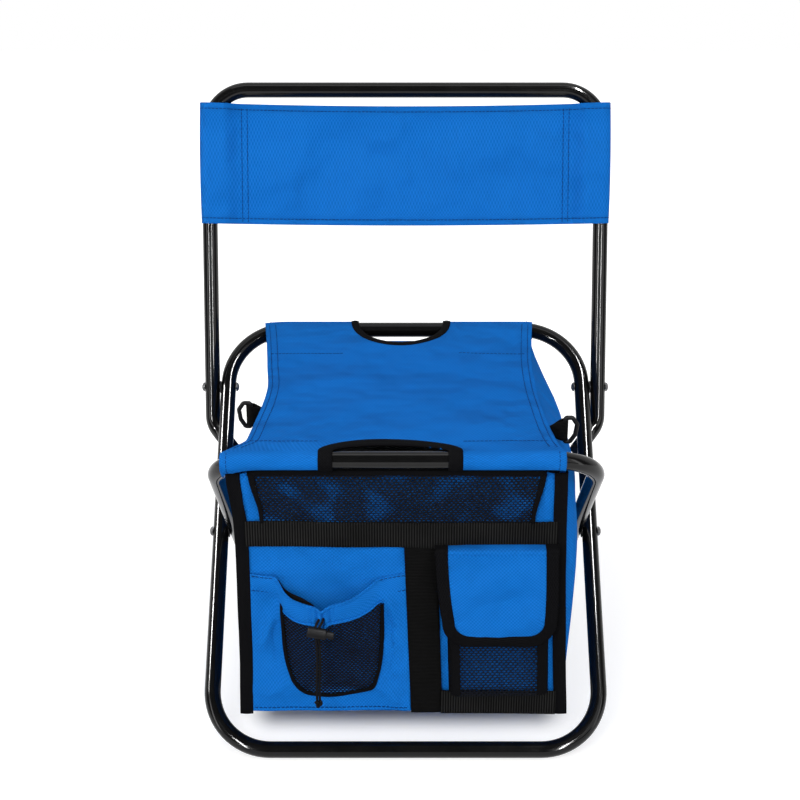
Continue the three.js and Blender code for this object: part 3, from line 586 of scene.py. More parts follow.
def make_world():
    """White for the camera. In a gloss it is white behind the stool and dark in front of it."""
    world = bpy.data.worlds.new("studio")
    bpy.context.scene.world = world
    world.use_nodes = True
    tree = world.node_tree
    background = tree.nodes["Background"]
    place = node(tree, "ShaderNodeTexCoord").outputs["Generated"]
    direction = node(tree, "ShaderNodeSeparateXYZ", Vector=place)
    behind = ramp(tree, direction.outputs[1], -0.1, 0.25, DARK_FRONT, 1.0)
    path = tree.nodes.new("ShaderNodeLightPath")
    level = tree.nodes.new("ShaderNodeMix")
    plug(level.inputs[0], seen_rays(tree))
    plug(level.inputs[2], WORLD_LIGHT)
    plug(level.inputs[3], calc(tree, "MAXIMUM", behind, path.outputs["Is Camera Ray"]))
    plug(background.inputs["Strength"], level.outputs[0])
    plug(background.inputs["Color"], (1, 1, 1, 1))


def bag_shade(tree, place):
    """Painted shadow: 1 on the open floor, falling off under the bag."""
    split = node(tree, "ShaderNodeSeparateXYZ", Vector=place)
    depth = calc(tree, "SUBTRACT", split.outputs[1], SHADE_Y)
    past = []
    for way, half in zip((split.outputs[0], depth), SHADE_HALF):
        beyond = calc(tree, "SUBTRACT", calc(tree, "ABSOLUTE", way), half)
        past.append(calc(tree, "POWER", calc(tree, "MAXIMUM", beyond, 0.0), 2.0))
    distance = calc(tree, "SQRT", calc(tree, "ADD", *past))
    return ramp(tree, distance, 0.0, SHADE_EDGE, 0.02, 1.0)


def make_floor():
    """A white floor that also glows, so that it runs into the white behind it, with a painted shadow under
    the bag.
    """
    material = bpy.data.materials.new("studio_floor")
    material.use_nodes = True
    tree = material.node_tree
    tree.nodes.clear()
    matte = node(tree, "ShaderNodeBsdfDiffuse", Color=(0.92, 0.92, 0.92, 1))
    place = node(tree, "ShaderNodeTexCoord").outputs["Object"]
    away = node(tree, "ShaderNodeVectorMath", Vector=place)
    away.operation = "LENGTH"
    level = ramp(tree, away.outputs["Value"], 0.25, 1.1, 1.5, 2.3)
    # Painted shadow: the floor's glow falls off under the bag
    strength = calc(tree, "MULTIPLY", level, bag_shade(tree, place))
    glow = node(tree, "ShaderNodeEmission", Color=(1, 1, 1, 1), Strength=strength)
    both = tree.nodes.new("ShaderNodeMixShader")
    plug(both.inputs[0], calc(tree, "MULTIPLY", seen_rays(tree), FLOOR_GLOW))
    plug(both.inputs[1], matte.outputs[0])
    plug(both.inputs[2], glow.outputs[0])
    node(tree, "ShaderNodeOutputMaterial", Surface=both.outputs[0])
    corners = [(x * FLOOR_HALF, y * FLOOR_HALF, 0) for x, y in ((-1, -1), (1, -1), (1, 1), (-1, 1))]
    floor = piece("floor", corners, [(0, 1, 2, 3)], material)
    floor.location.z = -0.0002


make_camera()
make_world()
make_floor()
for lamp_settings in LAMPS:
    make_lamp(*lamp_settings)
bpy.context.scene.view_settings.view_transform = "Standard"


# Tubes

def loop_points(half, foot_radius, top_radius, inner):
    corners = [Vector((-half, -FOOT_LENGTH, 0)), Vector((half, -FOOT_LENGTH, 0)),
               Vector((half, SEAT_LENGTH, 0)), Vector((-half, SEAT_LENGTH, 0))]
    path = bent_path(corners, [foot_radius, foot_radius, top_radius, top_radius], True)
    return [on_leg(p.x, p.y, 0, inner) for p in path]


def back_points():
    tip = {sign: on_leg(sign * TAIL_X, BACK_AT - TAIL_END, -TAIL_BEHIND) for _, sign in SIDES}
    corners = [tip[-1], on_back(-BACK_X, -TAIL_DROP, 0), on_back(-BACK_X, BACK_LENGTH, 0),
               on_back(BACK_X, BACK_LENGTH, 0), on_back(BACK_X, -TAIL_DROP, 0), tip[1]]
    return bent_path(corners, [0, TAIL_R, BACK_TOP_R, BACK_TOP_R, TAIL_R, 0], False)


outer_points = loop_points(OUTER_X, OUTER_FOOT_R, OUTER_TOP_R, False)
inner_points = loop_points(INNER_X, INNER_R, INNER_R, True)
for name, points, closed, body, node_name in (
        ("outer_tube", outer_points, True, "outer_frame", "outer_leg_loop"),
        ("inner_tube", inner_points, True, "inner_frame", "inner_leg_loop"),
        ("back_tube", back_points(), False, "backrest", "backrest_tube")):
    belongs(bar(name, points, TUBE_R, PAINT, TUBE_SIDES, closed), body, "black_tube", node_name)

for name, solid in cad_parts.items():
    for word, finish in (("rivet", STEEL), ("washer", PLASTIC), ("plug", PLASTIC)):
        if word in name:
            solid.data.materials.clear()
            solid.data.materials.append(finish)


# Backrest band: one cloth round both uprights, hemmed along its edges

def band_section(t):
    """Across the band from one back edge, round both uprights, to the other: (x, out) for t from 0 to 1."""
    wrap, slope = math.pi * BAND_WRAP, BACK_X - BAND_SEAM
    half = BAND_BACK_RUN + slope + wrap + slope + BAND_SEAM
    run = abs(t - 0.5) * 2 * half
    sign = -1 if t < 0.5 else 1
    if run < BAND_SEAM:
        return sign * run, -BAND_SLACK * (1 - (run / BAND_SEAM) ** 2)
    run -= BAND_SEAM
    if run < slope:
        return sign * (BAND_SEAM + run), BAND_WRAP * smooth(0, slope * 0.5, run)
    run -= slope
    if run < wrap:
        turn = run / BAND_WRAP
        return sign * (BACK_X + BAND_WRAP * math.sin(turn)), BAND_WRAP * math.cos(turn)
    run -= wrap
    if run < slope:
        return sign * (BACK_X - run), mix(-BAND_WRAP, BAND_BACK_OUT, smooth(slope * 0.45, slope, run))
    return sign * (BAND_SEAM - (run - slope)), BAND_BACK_OUT


def band_point(t, along, lift=0.0):
    """A point of the band: its middle hangs lower than its ends, and its seams pucker."""
    x, out = band_section(t)
    drop = 1 - min(abs(x) / BAND_HALF, 1) ** 2
    edge = mix(2.6, 3.6, smooth(BAND_LOW, BAND_HIGH, along))
    middle = 1 - ((along - BAND_LOW) / (BAND_HIGH - BAND_LOW) * 2 - 1) ** 2
    spread = middle * math.copysign(smooth(BAND_SEAM, BACK_X + 8, abs(x)), x)
    sag = ripple(x, along, 0, 60) * 0.7 * smooth(0, 30, BAND_SEAM - abs(x))
    pucker = ripple(x * 0.3, along, 5, 9) * 0.35 * (1 - smooth(2, 14, abs(abs(x) - BAND_SEAM + 3)))
    to_hem = min(abs(along - BAND_LOW - BAND_HEM), abs(along - BAND_HIGH + BAND_HEM))
    groove = -0.35 * bell(to_hem, 0.9)
    face = 1 if out >= BAND_BEHIND else -1
    return on_back(x + spread, along - drop * edge, out + face * (sag * 0.6 + pucker + groove + lift))


def band_place(u, v):
    return band_point(u, BAND_LOW + BAND_ROWS[round(v * (len(BAND_ROWS) - 1))])


# Distances from an edge: close together round the groove of the hem
HEM_ROWS = [0, 0.8, 2.5, 4.4, 5.4, 6.0, 6.6, 7.6, 10]
BAND_ROWS = HEM_ROWS + [16 + 10.44 * k for k in range(10)]
BAND_ROWS += [BAND_HIGH - BAND_LOW - row for row in reversed(HEM_ROWS)]
band = surface("band", 200, len(BAND_ROWS) - 1, band_place, BLUE, 1.1)
belongs(band, "backrest", "blue_cloth", "backrest_band")


def band_seams():
    front = [t for t in (k / 2000 for k in range(2001)) if band_section(t)[1] >= BAND_BEHIND]
    runs = []
    for seam in (BAND_SEAM - 0.5, BAND_SEAM - 6.5):
        for _, sign in SIDES:
            t = min(front, key=lambda s: abs(band_section(s)[0] - sign * seam))
            runs.append([band_point(t, BAND_LOW + 2 + k * 2, THREAD_LIFT) for k in range(62)])
    for along in (BAND_LOW + BAND_HEM, BAND_HIGH - BAND_HEM):
        runs.append([band_point(t, along, THREAD_LIFT) for t in front[::4]])
    return runs


belongs(stitches("band_stitches", band_seams()), "backrest", "blue_cloth")


# Seat sling: one cloth from under the rear bar, over the seat, round the front bar and back under

def bar_centre(x, front):
    """Middle of a seat bar at x, where the bar bends down towards its legs."""
    half, radius = (INNER_X, INNER_R) if front else (OUTER_X, OUTER_TOP_R)
    beyond = min(max(abs(x) - (half - radius), 0) / radius, 0.95)
    return on_leg(x, SEAT_LENGTH - radius * (1 - math.sqrt(1 - beyond * beyond)), 0, front)


def sleeve_crown(x, front):
    """The middle line of the upper half of a sleeve, which hardly follows the bend of the bar."""
    return bar_centre(0, front).lerp(bar_centre(x, front), 0.3) * Vector((0, 1, 1)) + Vector((x, 0, 0))


def seat_pulls(x, share):
    """Fine folds that run in from the two front corners."""
    height = 0.0
    for corner, sign in ((-150, 1), (140, -1)):
        dx, dy = sign * (x - corner) + 12, (1.0 - share) * SEAT_SPAN + 2
        reach = math.hypot(dx, dy)
        height += 0.8 * math.sin(math.atan2(dy, dx) * 34) * math.exp(-reach / 60) * smooth(6, 30, reach)
    return height


def seat_top(x, share, lift):
    """On the seat between the bars: share 0 is the crown of the rear bar, 1 that of the front bar."""
    rear, front = sleeve_crown(x, False), sleeve_crown(x, True)
    y = mix(rear.y, front.y, share)
    z = mix(rear.z, front.z, share) + CLOTH_WRAP - SEAT_SAG * arch(share)
    fold = ripple(x, y, 0, 75) * 2.0 + ripple(x, y, 3, 30) * 0.4 + seat_pulls(x, share)
    return Vector((x, y, z + fold * arch(share) ** 0.6 + lift))


def seat_wrap(x, front, turn, lift):
    """Round a bar: turn 0 is its crown, growing outwards and down. The sleeve is straighter than the bar."""
    outward = Vector((0, (-1 if front else 1) * math.sin(turn), math.cos(turn)))
    low, high = bar_centre(x, front), sleeve_crown(x, front)
    centre = high if outward.dot(high - low) > 0 else low
    return centre + outward * (CLOTH_WRAP + lift)


# Steps along the sling: a turn round a bar, or a share of the way over the seat
WRAP_TURN = math.radians(215)
WRAP_STEPS, SPAN_STEPS = 16, 100
STATIONS = [("rear", WRAP_TURN * (1 - k / WRAP_STEPS)) for k in range(WRAP_STEPS)]
STATIONS += [("top", k / SPAN_STEPS) for k in range(SPAN_STEPS + 1)]
STATIONS += [("front", WRAP_TURN * (k + 1) / WRAP_STEPS) for k in range(WRAP_STEPS)]


def seat_at_x(kind, value, x, lift=0.0):
    if kind == "top":
        return seat_top(x, value, lift)
    return seat_wrap(x, kind == "front", value, lift)


def seat_at(kind, value, u):
    """A point of the sling: u runs from the left edge to the right edge."""
    ahead = {"rear": SEAT_HALF, "front": -SEAT_HALF}.get(kind, mix(SEAT_HALF, -SEAT_HALF, value))
    return seat_at_x(kind, value, mix(interpolate(LEFT_EDGE, ahead), interpolate(RIGHT_EDGE, ahead), u))


def seat_place(u, v):
    return seat_at(*STATIONS[round(v * (len(STATIONS) - 1))], u)


def in_hole(x, run, hole, grow):
    """True inside a hand hole: run is the way in from the bar's crown, negative round the bar."""
    across = abs(x - hole["x"]) / (hole["half"] + grow)
    if across >= 1:
        return False
    return run < (hole["depth"] - hole["tape"] + grow) * math.sqrt(1 - across ** 2)


def seat_keep(u, v):
    kind, value = STATIONS[int(v * (len(STATIONS) - 1))]
    x = seat_at(kind, value, u).x
    if kind == "top":
        in_front = in_hole(x, SEAT_SPAN * (1 - value), FRONT_HOLE, 4)
        return not (in_front or in_hole(x, SEAT_SPAN * value, REAR_HOLE, 3))
    return not in_hole(x, -1, FRONT_HOLE if kind == "front" else REAR_HOLE, 4)


seat = surface("seat_sling", 150, len(STATIONS) - 1, seat_place, BLUE, 1.2, UPWARD, seat_keep)
spans_loops(seat, "blue_cloth", "seat_panel", "seat_front_sleeve_left", "seat_front_sleeve_right",
            "seat_rear_sleeve_left", "seat_rear_sleeve_right")


def hole_edge(hole, front, t, grow, lift):
    """Along a hand hole: up round the bar at one side, along the arch, and down round it at the other."""
    around = 26.0
    over = math.pi * (hole["half"] + hole["depth"]) / 2
    run = t * (2 * around + over)
    half, depth = hole["half"] + grow, hole["depth"] - hole["tape"] + grow
    kind = "front" if front else "rear"
    if run < around:
        return seat_at_x(kind, (around - run) / CLOTH_WRAP, hole["x"] - half, lift)
    if run > around + over:
        return seat_at_x(kind, (run - around - over) / CLOTH_WRAP, hole["x"] + half, lift)
    turn = math.pi * (1 - (run - around) / over)
    share = depth * math.sin(turn) / SEAT_SPAN
    return seat_at_x("top", 1 - share if front else share, hole["x"] + half * math.cos(turn), lift)


def make_hole_binding(side, hole):
    def place(u, v):
        return hole_edge(hole, side == "front", v, u * hole["tape"], 0.5 + 0.7 * arch(u))
    made = surface(f"{side}_hole_binding", 6, 90, place, BLACK_TAPE, 2.0, UPWARD)
    spans_loops(made, "black_webbing", f"seat_{side}_binding")


make_hole_binding("front", FRONT_HOLE)
make_hole_binding("rear", REAR_HOLE)


def seat_seams():
    edges = ((LEFT_EDGE, 1), (RIGHT_EDGE, -1))
    runs = []
    for inset in (4.5, 11):
        for edge, sign in edges:
            points = []
            for k in range(90):
                share = mix(0.02, 0.98, k / 89)
                x = interpolate(edge, mix(SEAT_HALF, -SEAT_HALF, share)) + sign * inset
                points.append(seat_top(x, share, THREAD_LIFT))
            runs.append(points)
    for hole, front in ((FRONT_HOLE, True), (REAR_HOLE, False)):
        for edge, sign in edges:
            x = interpolate(edge, -SEAT_HALF if front else SEAT_HALF) + sign * 6
            runs.append([seat_wrap(x, front, 0.1 + 2.6 * k / 20, THREAD_LIFT) for k in range(21)])
        way_in = hole["seam"] / SEAT_SPAN
        share = 1 - way_in if front else way_in
        for x0, x1 in ((-140, hole["x"] - hole["half"] - 14), (hole["x"] + hole["half"] + 14, 127)):
            runs.append([seat_top(mix(x0, x1, k / 20), share, THREAD_LIFT) for k in range(21)])
    return runs


spans_loops(stitches("seat_stitches", seat_seams()), "blue_cloth")


# Bag: a lofted shell, flat in front, with sides that swell and fold in under the seat

FRONT_STEPS, SIDE_STEPS = 44, 30
WALLS = (("front", FRONT_STEPS), ("right", SIDE_STEPS), ("back", FRONT_STEPS), ("left", SIDE_STEPS))
RING_COUNT = 2 * (FRONT_STEPS + SIDE_STEPS)
FLOOR_RINGS = 8
UP_ROWS = [0, 0.012, 0.03] + [0.06 + 0.94 * k / 30 for k in range(31)]
SIDE_ROOM = INNER_X - TUBE_R - 5


def bag_front_y(x, z):
    """The front panel, a little full in its middle and at both ends of the net pocket."""
    left, right = interpolate(BAG_LEFT, z), interpolate(BAG_RIGHT, z)
    across = clamp((x - left) / (right - left))
    up = clamp((z - BAG_LOW) / (BAG_TOP - BAG_LOW))
    full = arch(across) ** 0.7 * arch(up) ** 0.7
    puff = 4.5 * smooth(255, 275, z) * (1 - smooth(296, 308, z))
    full += puff * (bell(x + 146, 4.5) + bell(x - 132, 4.5)) / 1.6
    wrinkle = ripple(x, 0, z, 70) * 1.8 + ripple(x * 0.6 + z * 0.5, 8, z, 34) * 2.2
    return BAG_FRONT + 1.0 - 1.6 * full - wrinkle * smooth(0, 0.2, min(up, 1 - up) + 0.05)


def bag_ring(k):
    """Where a step of the outline lies: (wall, share along it), from the front left corner to the right."""
    for wall, steps in WALLS:
        if k < steps:
            return wall, k / steps
        k -= steps


def bag_point(k, up):
    """A point of the shell: up is 0 at the floor of the bag and 1 at its rim."""
    wall, share = bag_ring(k % RING_COUNT)
    swell = arch(share)
    under_seat = 17 - 6 * swell if wall in ("left", "right") else 0
    rim = BAG_TOP + mix(-6, under_seat, smooth(0, 0.12, min(share, 1 - share)))
    z = mix(BAG_LOW, rim, up)
    left, right = interpolate(BAG_LEFT, z), interpolate(BAG_RIGHT, z)
    rear_left, rear_right = mix(-154, -146, up), mix(152, 138, up)
    tuck = 2.2 * (1 - smooth(0, 0.05, up))
    if wall == "front":
        x = mix(left, right, share)
        return Vector((x, bag_front_y(x, z) + tuck, z))
    if wall == "back":
        x = mix(rear_right, rear_left, share)
        full = swell ** 0.7 * arch(up) ** 0.7
        return Vector((x, BAG_REAR - 1.5 + 1.5 * full + ripple(x, 9, z, 80) - tuck, z))
    sign = 1 if wall == "right" else -1
    y = mix(BAG_FRONT + 1, BAG_REAR - 1.5, share if wall == "right" else 1 - share)
    edge = mix(right, rear_right, share) if wall == "right" else mix(rear_left, left, share)
    seat_edge = interpolate(RIGHT_EDGE if wall == "right" else LEFT_EDGE, y - PIVOT_Y) - sign * 3.5
    if wall == "right":
        full = 21.5 * swell ** (0.3 if share < 0.5 else 0.9) * smooth(0.02, 0.62, up)
        full *= 1 - 0.2 * smooth(0.62, 0.85, up)
    else:
        full = -13.0 * swell ** 0.7 * smooth(0.05, 0.7, up)
    crease = -3.2 * bell(share - 0.5, 0.05) * arch(up)
    waves = ripple(y, 4, z, 55, sign) * 1.4 * swell
    pinch = smooth(0.84, 1.02, up) * swell ** 0.15
    x = mix(edge + sign * (full + crease + waves - tuck), seat_edge, pinch)
    beyond = abs(x) - SIDE_ROOM
    if beyond > 0:
        x = sign * (SIDE_ROOM + 3.5 * math.tanh(beyond / 3.5))
    return Vector((x, y, z))


def bag_mesh(name, material, inset, top):
    """The shell, or with an inset the liner inside it, up to the share top of its height."""
    verts, uvs = [], []
    middle = Vector((-2, (BAG_FRONT + BAG_REAR) / 2, BAG_LOW - 0.5 + inset))
    rows = []
    for ring in range(1, FLOOR_RINGS + 1):
        rows.append([middle.lerp(bag_point(k, 0), ring / (FLOOR_RINGS + 1)) for k in range(RING_COUNT)])
    rows += [[bag_point(k, up * top) for k in range(RING_COUNT)] for up in UP_ROWS]
    for j, row in enumerate(rows):
        run = 0.0
        for k, point in enumerate(row):
            inward = Vector((middle.x - point.x, middle.y - point.y, 0)).normalized() * inset
            verts.append(point + inward + Vector((0, 0, inset if j <= FLOOR_RINGS else 0)))
            uvs.append((run, point.z + min(j, FLOOR_RINGS) * 18))
            run += (row[(k + 1) % RING_COUNT] - point).length
    faces = ring_faces(RING_COUNT, len(rows))
    faces.append(tuple(reversed(range(RING_COUNT))))
    return piece(name, verts, faces, material, uvs)


bag = thicken(bag_mesh("bag", BLUE, 0, 1.0), 2.4)
belongs(bag, "bag", "blue_cloth", "bag_shell")
liner = thicken(bag_mesh("liner", FOIL, 4.2, 0.955), 0.8)
belongs(liner, "bag", "foil_liner", "bag_liner")


# Trim on the front of the bag

def on_front(x, z, out):
    return Vector((x, bag_front_y(x, z) - out, z))


def line(x0, z0, x1, z1, sway=0.0, shift=0.0):
    """An edge of a strip from (x0, z0) to (x1, z1), a little wavy where sway is more than 0."""
    def edge(t):
        return mix(x0, x1, t), mix(z0, z1, t) + sway * math.sin(6 * t + shift)
    return edge


def front_strip(name, low, high, columns, rows, material, thickness, out, *nodes):
    """A strip whose two long edges are low(t) and high(t), each (x, z), lying on the front."""
    def place(u, v):
        (x0, z0), (x1, z1) = low(v), high(v)
        return on_front(mix(x0, x1, u), mix(z0, z1, u), out + thickness + 0.25 * arch(u))
    made = surface(name, columns, rows, place, material, thickness, FORWARD)
    belongs(made, "bag", "black_webbing", *nodes)


def edge_strip(tag, sign, table):
    """The binding down one front edge: folded over the edge, so it also shows from the side."""
    def place(u, v):
        z = mix(BAG_LOW - 1, BINDING_TOP, v)
        rim = interpolate(table, z) + sign
        if u < 0.25:
            return Vector((rim, BAG_FRONT + mix(11, 0, u / 0.25), z))
        across = (u - 0.25) / 0.75
        x = rim - sign * 12.5 * across
        return on_front(x, z, 1.5 + 0.8 * arch(across) + ripple(x, 2, z, 22) * 0.25)
    made = surface(f"{tag}_edge_binding", 16, 60, place, BLACK_TAPE, 1.4, FORWARD)
    belongs(made, "bag", "black_webbing", f"front_binding_{tag}")


edge_strip("left", -1, BAG_LEFT)
edge_strip("right", 1, BAG_RIGHT)
front_strip("top_webbing", line(-146, 232, 137, 232, 0.8), line(-146, 257, 137, 257, 0.8, 0.4), 10, 110,
            WEB_ACROSS, 1.6, 1.2, "webbing_top")
front_strip("centre_webbing", line(5, 54, -2, 233), line(35, 54, 28, 233), 12, 60,
            WEB_FINE, 1.6, 0.8, "webbing_centre")
front_strip("bottom_webbing", line(33, 54, 142, 53), line(33, 80, 142, 78.5), 10, 50,
            WEB_ACROSS, 1.6, 2.4, "webbing_bottom")

# Section of the rim's facing by share of its way: out from the front, and down from the rim
RIM_OUT = [(0, 1.4), (0.4, 1.4), (0.5, -1.2), (0.6, -5.6), (1, -6.4)]
RIM_DOWN = [(0, 3), (0.4, 0.5), (0.5, -0.8), (0.6, 0.5), (1, 16)]


def rim_place(u, v):
    """Over the front rim: down the outside, across the top and down the inside."""
    share = mix(0.06, 0.94, v)
    rim = bag_point(round(share * FRONT_STEPS), 1)
    x = mix(interpolate(BAG_LEFT, 300), interpolate(BAG_RIGHT, 300), share)
    return Vector((x, BAG_FRONT - interpolate(RIM_OUT, u), rim.z - interpolate(RIM_DOWN, u)))


rim_facing = surface("rim_facing", 20, 60, rim_place, BLACK_TAPE, 0.9)
belongs(rim_facing, "bag", "black_webbing")


# Net pocket across the top of the front

TOP_NET_X, TOP_NET_Z, TOP_NET_WIDTH, TOP_NET_HEIGHT = -142, 256, 268, 51

# Its left and its right edge, each at the foot and at the top
TOP_NET_EDGES = {-1: (-130.5, -137), 1: (114.5, 121)}


def top_net_edge(z, sign):
    return mix(*TOP_NET_EDGES[sign], smooth(262, BINDING_TOP, z))


def top_net_place(x, z):
    x, z = x + TOP_NET_X, z + TOP_NET_Z
    full = arch(clamp((x - TOP_NET_X) / TOP_NET_WIDTH)) ** 0.5 * arch(clamp((z - TOP_NET_Z) / 60))
    return on_front(x, z, 1.2 + 3.2 * full + ripple(x, 7, z, 34) * 1.6 * full)


def in_top_net(x, z):
    x, z = x + TOP_NET_X, z + TOP_NET_Z
    return top_net_edge(z, -1) < x < top_net_edge(z, 1)


def top_net_gape(x, z):
    """The doubled net lets more cloth show where its two layers lie hole over hole."""
    return 0.54 + 0.2 * smooth(0.0, 0.4, ripple(x + 0.8 * z, 3, z - 0.5 * x, 30))


def beside_net(sign, start, end):
    """An edge of the net's side border: its distance outside the net goes from start to end."""
    def edge(t):
        z = mix(TOP_NET_Z, BINDING_TOP, t)
        return top_net_edge(z, sign) + sign * mix(start, end, t), z
    return edge


top_net = net("top_net", TOP_NET_WIDTH, TOP_NET_HEIGHT, top_net_place, in_top_net, 4.1, 2.4, top_net_gape)
belongs(top_net, "bag", "black_net", "net_pocket")
front_strip("top_net_elastic", line(-138, 304, 122, 304), line(-138, 309, 122, 309), 6, 90,
            BLACK_TAPE, 1.6, 2.0, "net_pocket_elastic")
for tag, sign in SIDES:
    front_strip(f"top_net_edge_{tag}", beside_net(sign, -2, -2), beside_net(sign, 1.5, 4), 6, 24,
                BLACK_TAPE, 1.2, 2.0)


# Drawstring pocket: a blue panel with a net window and a gathered hem

POCKET_LEFT, POCKET_RIGHT, POCKET_LOW = -146, 4.452514, 55
CORD_NOTCH = -77
MOUTH = [(-148, 204), (-120, 202), (-111, 187), (-102, 181), (-86, 179), (-77, 180), (-50, 186), (-36, 193),
         (-24, 201), (6, 206)]
HEM = [(-148, 20), (-120, 21), (-100, 20), (-80, 17), (-50, 20), (-24, 25), (6, 22)]
WINDOW_LOW, WINDOW_MIDDLE = 72, (-68, 130)
WINDOW_LEFT = [(72, -70), (74.6, -91), (82, -102), (105, -111), (133, -114.5), (178, -115)]
WINDOW_RIGHT = [(72, -68), (76, -47), (82.5, -31), (114, -23), (144, -21.3), (178, -21.5)]
POCKET_NET_X, POCKET_NET_Z = -119, 70

# Folds in the pocket's cloth: two ends (x, z), height and width
POCKET_FOLDS = [((-112, 180), (-141, 118), 4.2, 6), ((-22, 188), (-4, 146), 3.6, 5),
                ((-106, 92), (-139, 68), 3.2, 6), ((-28, 88), (-4, 64), 3.0, 6),
                ((-120, 168), (-118, 104), -4.0, 4.5), ((-16, 168), (-18, 100), -4.0, 4.5)]


def fold_height(x, z, start, end, height, width):
    """Height of one fold, which runs out towards both of its ends."""
    (x0, z0), (x1, z1) = start, end
    length = math.hypot(x1 - x0, z1 - z0)
    along = ((x - x0) * (x1 - x0) + (z - z0) * (z1 - z0)) / length ** 2
    aside = ((x - x0) * (z1 - z0) - (z - z0) * (x1 - x0)) / length
    ends = smooth(-0.15, 0.3, along) * (1 - smooth(0.7, 1.15, along))
    return height * ends * bell(aside, width)


def pocket_point(x, z, lift):
    """A point on the pocket's cloth, which stands out from the front panel in its middle."""
    up = smooth(66, 172, z)
    ends = smooth(-146, -128, x) * (1 - smooth(-10, 2, x))
    folds = 3.0 * ripple(x, 1, z, 30) * up + 2.6 * ripple(x * 0.5 + z * 0.7, 2, z * 0.2, 22)
    folds += sum(fold_height(x, z, *fold) for fold in POCKET_FOLDS)
    out = 1.4 + 17 * arch(clamp((x + 122) / 101)) ** 1.1 * up + folds * ends
    return on_front(x, z, out + lift)


def mouth(x):
    """Height of the pocket's upper edge, with a notch where the cord comes out."""
    return interpolate(MOUTH, x) - 5 * bell(x - CORD_NOTCH, 4.5)


def pocket_xz(u, v):
    """A place on the panel: v runs from its foot to its mouth, more closely near the mouth."""
    x = mix(POCKET_LEFT, POCKET_RIGHT, u)
    share = 1.08 * v if v < 0.85 else mix(0.918, 1, (v - 0.85) / 0.15)
    return x, mix(POCKET_LOW, mouth(x), share)


def pocket_place(u, v):
    """The panel, with a full casing along its mouth and pleats where the cord gathers it."""
    x, z = pocket_xz(u, v)
    below = (mouth(x) - z) / interpolate(HEM, x)
    ends = smooth(-144, -122, x) * (1 - smooth(-16, 0, x))
    casing = 1.8 * arch(clamp(below)) * ends if below < 1 else 0
    pleats = 1.9 * bell(x + 78, 13) * math.sin((x + 80) * 1.1 + 0.06 * (z - 170))
    pleats *= 1 - smooth(0.7, 1.5, below)
    return pocket_point(x, z, casing + pleats)


def in_window(x, z):
    top = mouth(x) - interpolate(HEM, x)
    return WINDOW_LOW < z < top and interpolate(WINDOW_LEFT, z) < x < interpolate(WINDOW_RIGHT, z)


pocket = surface("drawstring_pocket", 120, 100, pocket_place, BLUE, 1.0, FORWARD,
                 lambda u, v: not in_window(*pocket_xz(u, v)))
belongs(pocket, "bag", "blue_cloth", "drawstring_hem")


def mouth_shade_place(u, v):
    """A black sheet inside the pocket that paints the shade over the left half of the mouth."""
    x = mix(-117, -84, v)
    return pocket_point(x, mouth(x) + mix(-8, 5 * arch(v) ** 0.8, u), -2.2)


def hem_roll(name, x0, x1, drop, radius):
    """A rolled edge along the hem, drop below the mouth as a share of the hem's height."""
    points = []
    for k in range(81):
        x = mix(x0, x1, k / 80)
        points.append(pocket_point(x, mouth(x) - interpolate(HEM, x) * drop, 0.3))
    made = bar(name, points, lambda share: radius * max(arch(share), 0.05) ** 0.3, BLUE, 10)
    belongs(made, "bag", "blue_cloth")


def pocket_net_place(x, z):
    return pocket_point(x + POCKET_NET_X, z + POCKET_NET_Z, -0.6)


def in_pocket_net(x, z):
    """Inside the window, with a margin under the hem."""
    x, z = x + POCKET_NET_X, z + POCKET_NET_Z
    return in_window(x, min(z + 2, 150)) and z < interpolate(MOUTH, x) - 14


# Painted shade: a black sheet that stands in for the shadow inside the pocket's mouth
mouth_shade_sheet = surface("pocket_painted_shade", 8, 40, mouth_shade_place, BLACK_TAPE, 0.8, FORWARD)
belongs(mouth_shade_sheet, "bag", "black_webbing")
hem_roll("mouth_roll", -122, -20, 0.02, 1.5)
hem_roll("hem_roll", -116, -21, 1.0, 1.6)
pocket_net = net("drawstring_pocket_net", 100, 112, pocket_net_place, in_pocket_net, 3.7, 2.1,
                 lambda x, z: 0.58)
belongs(pocket_net, "bag", "black_net", "drawstring_net")


def soften(points, rounds=2):
    """Cuts the corners off a line of points."""
    for _ in range(rounds):
        cut = [points[0]]
        for a, b in zip(points, points[1:]):
            cut += [tuple(mix(p, q, share) for p, q in zip(a, b)) for share in (0.25, 0.75)]
        points = cut + [points[-1]]
    return points


def make_window_border():
    """Round the window from the hem on the left, down and round the bottom, up to the hem on the right."""
    left = [(interpolate(WINDOW_LEFT, z), z) for z in (176, 160, 140, 120, 105, 92, 82, 77, 74.6)]
    bottom = [(-80, 72.8), (-70, 72), (-58, 73.5)]
    right = [(interpolate(WINDOW_RIGHT, z), z) for z in (76, 79, 82.5, 92, 105, 120, 140, 160, 174)]
    outline = soften(left + bottom + right)

    def place(u, v):
        x, z = along_points(outline, v)
        inward = Vector((WINDOW_MIDDLE[0] - x, 0, WINDOW_MIDDLE[1] - z)).normalized() * mix(-1.4, 2.4, u)
        return pocket_point(x + inward.x, z + inward.z, 0.9 + 0.4 * arch(u))
    made = surface("window_border", 5, 110, place, BLACK_TAPE, 1.2, FORWARD)
    belongs(made, "bag", "black_webbing")


make_window_border()


# Flap pocket: net front between black strips, under a bound flap

BOX_X0, BOX_X1, BOX_LOW, BOX_HIGH, BOX_OUT = 36.5, 130.5, 79, 209, 9.5
FLAP_TOP, FLAP_LOW, FLAP_WIDTH, FLAP_CORNER, FLAP_BELLY = 232, 133, 105, 26, 2.2
FLAP_Y = BAG_FRONT - 11.6
FLAP_LEFT = [(133, 35), (151, 34), (180, 30), (205, 27.5), (232, 26)]
FLAP_RIGHT = [(133, 138), (180, 139.4), (232, 138)]

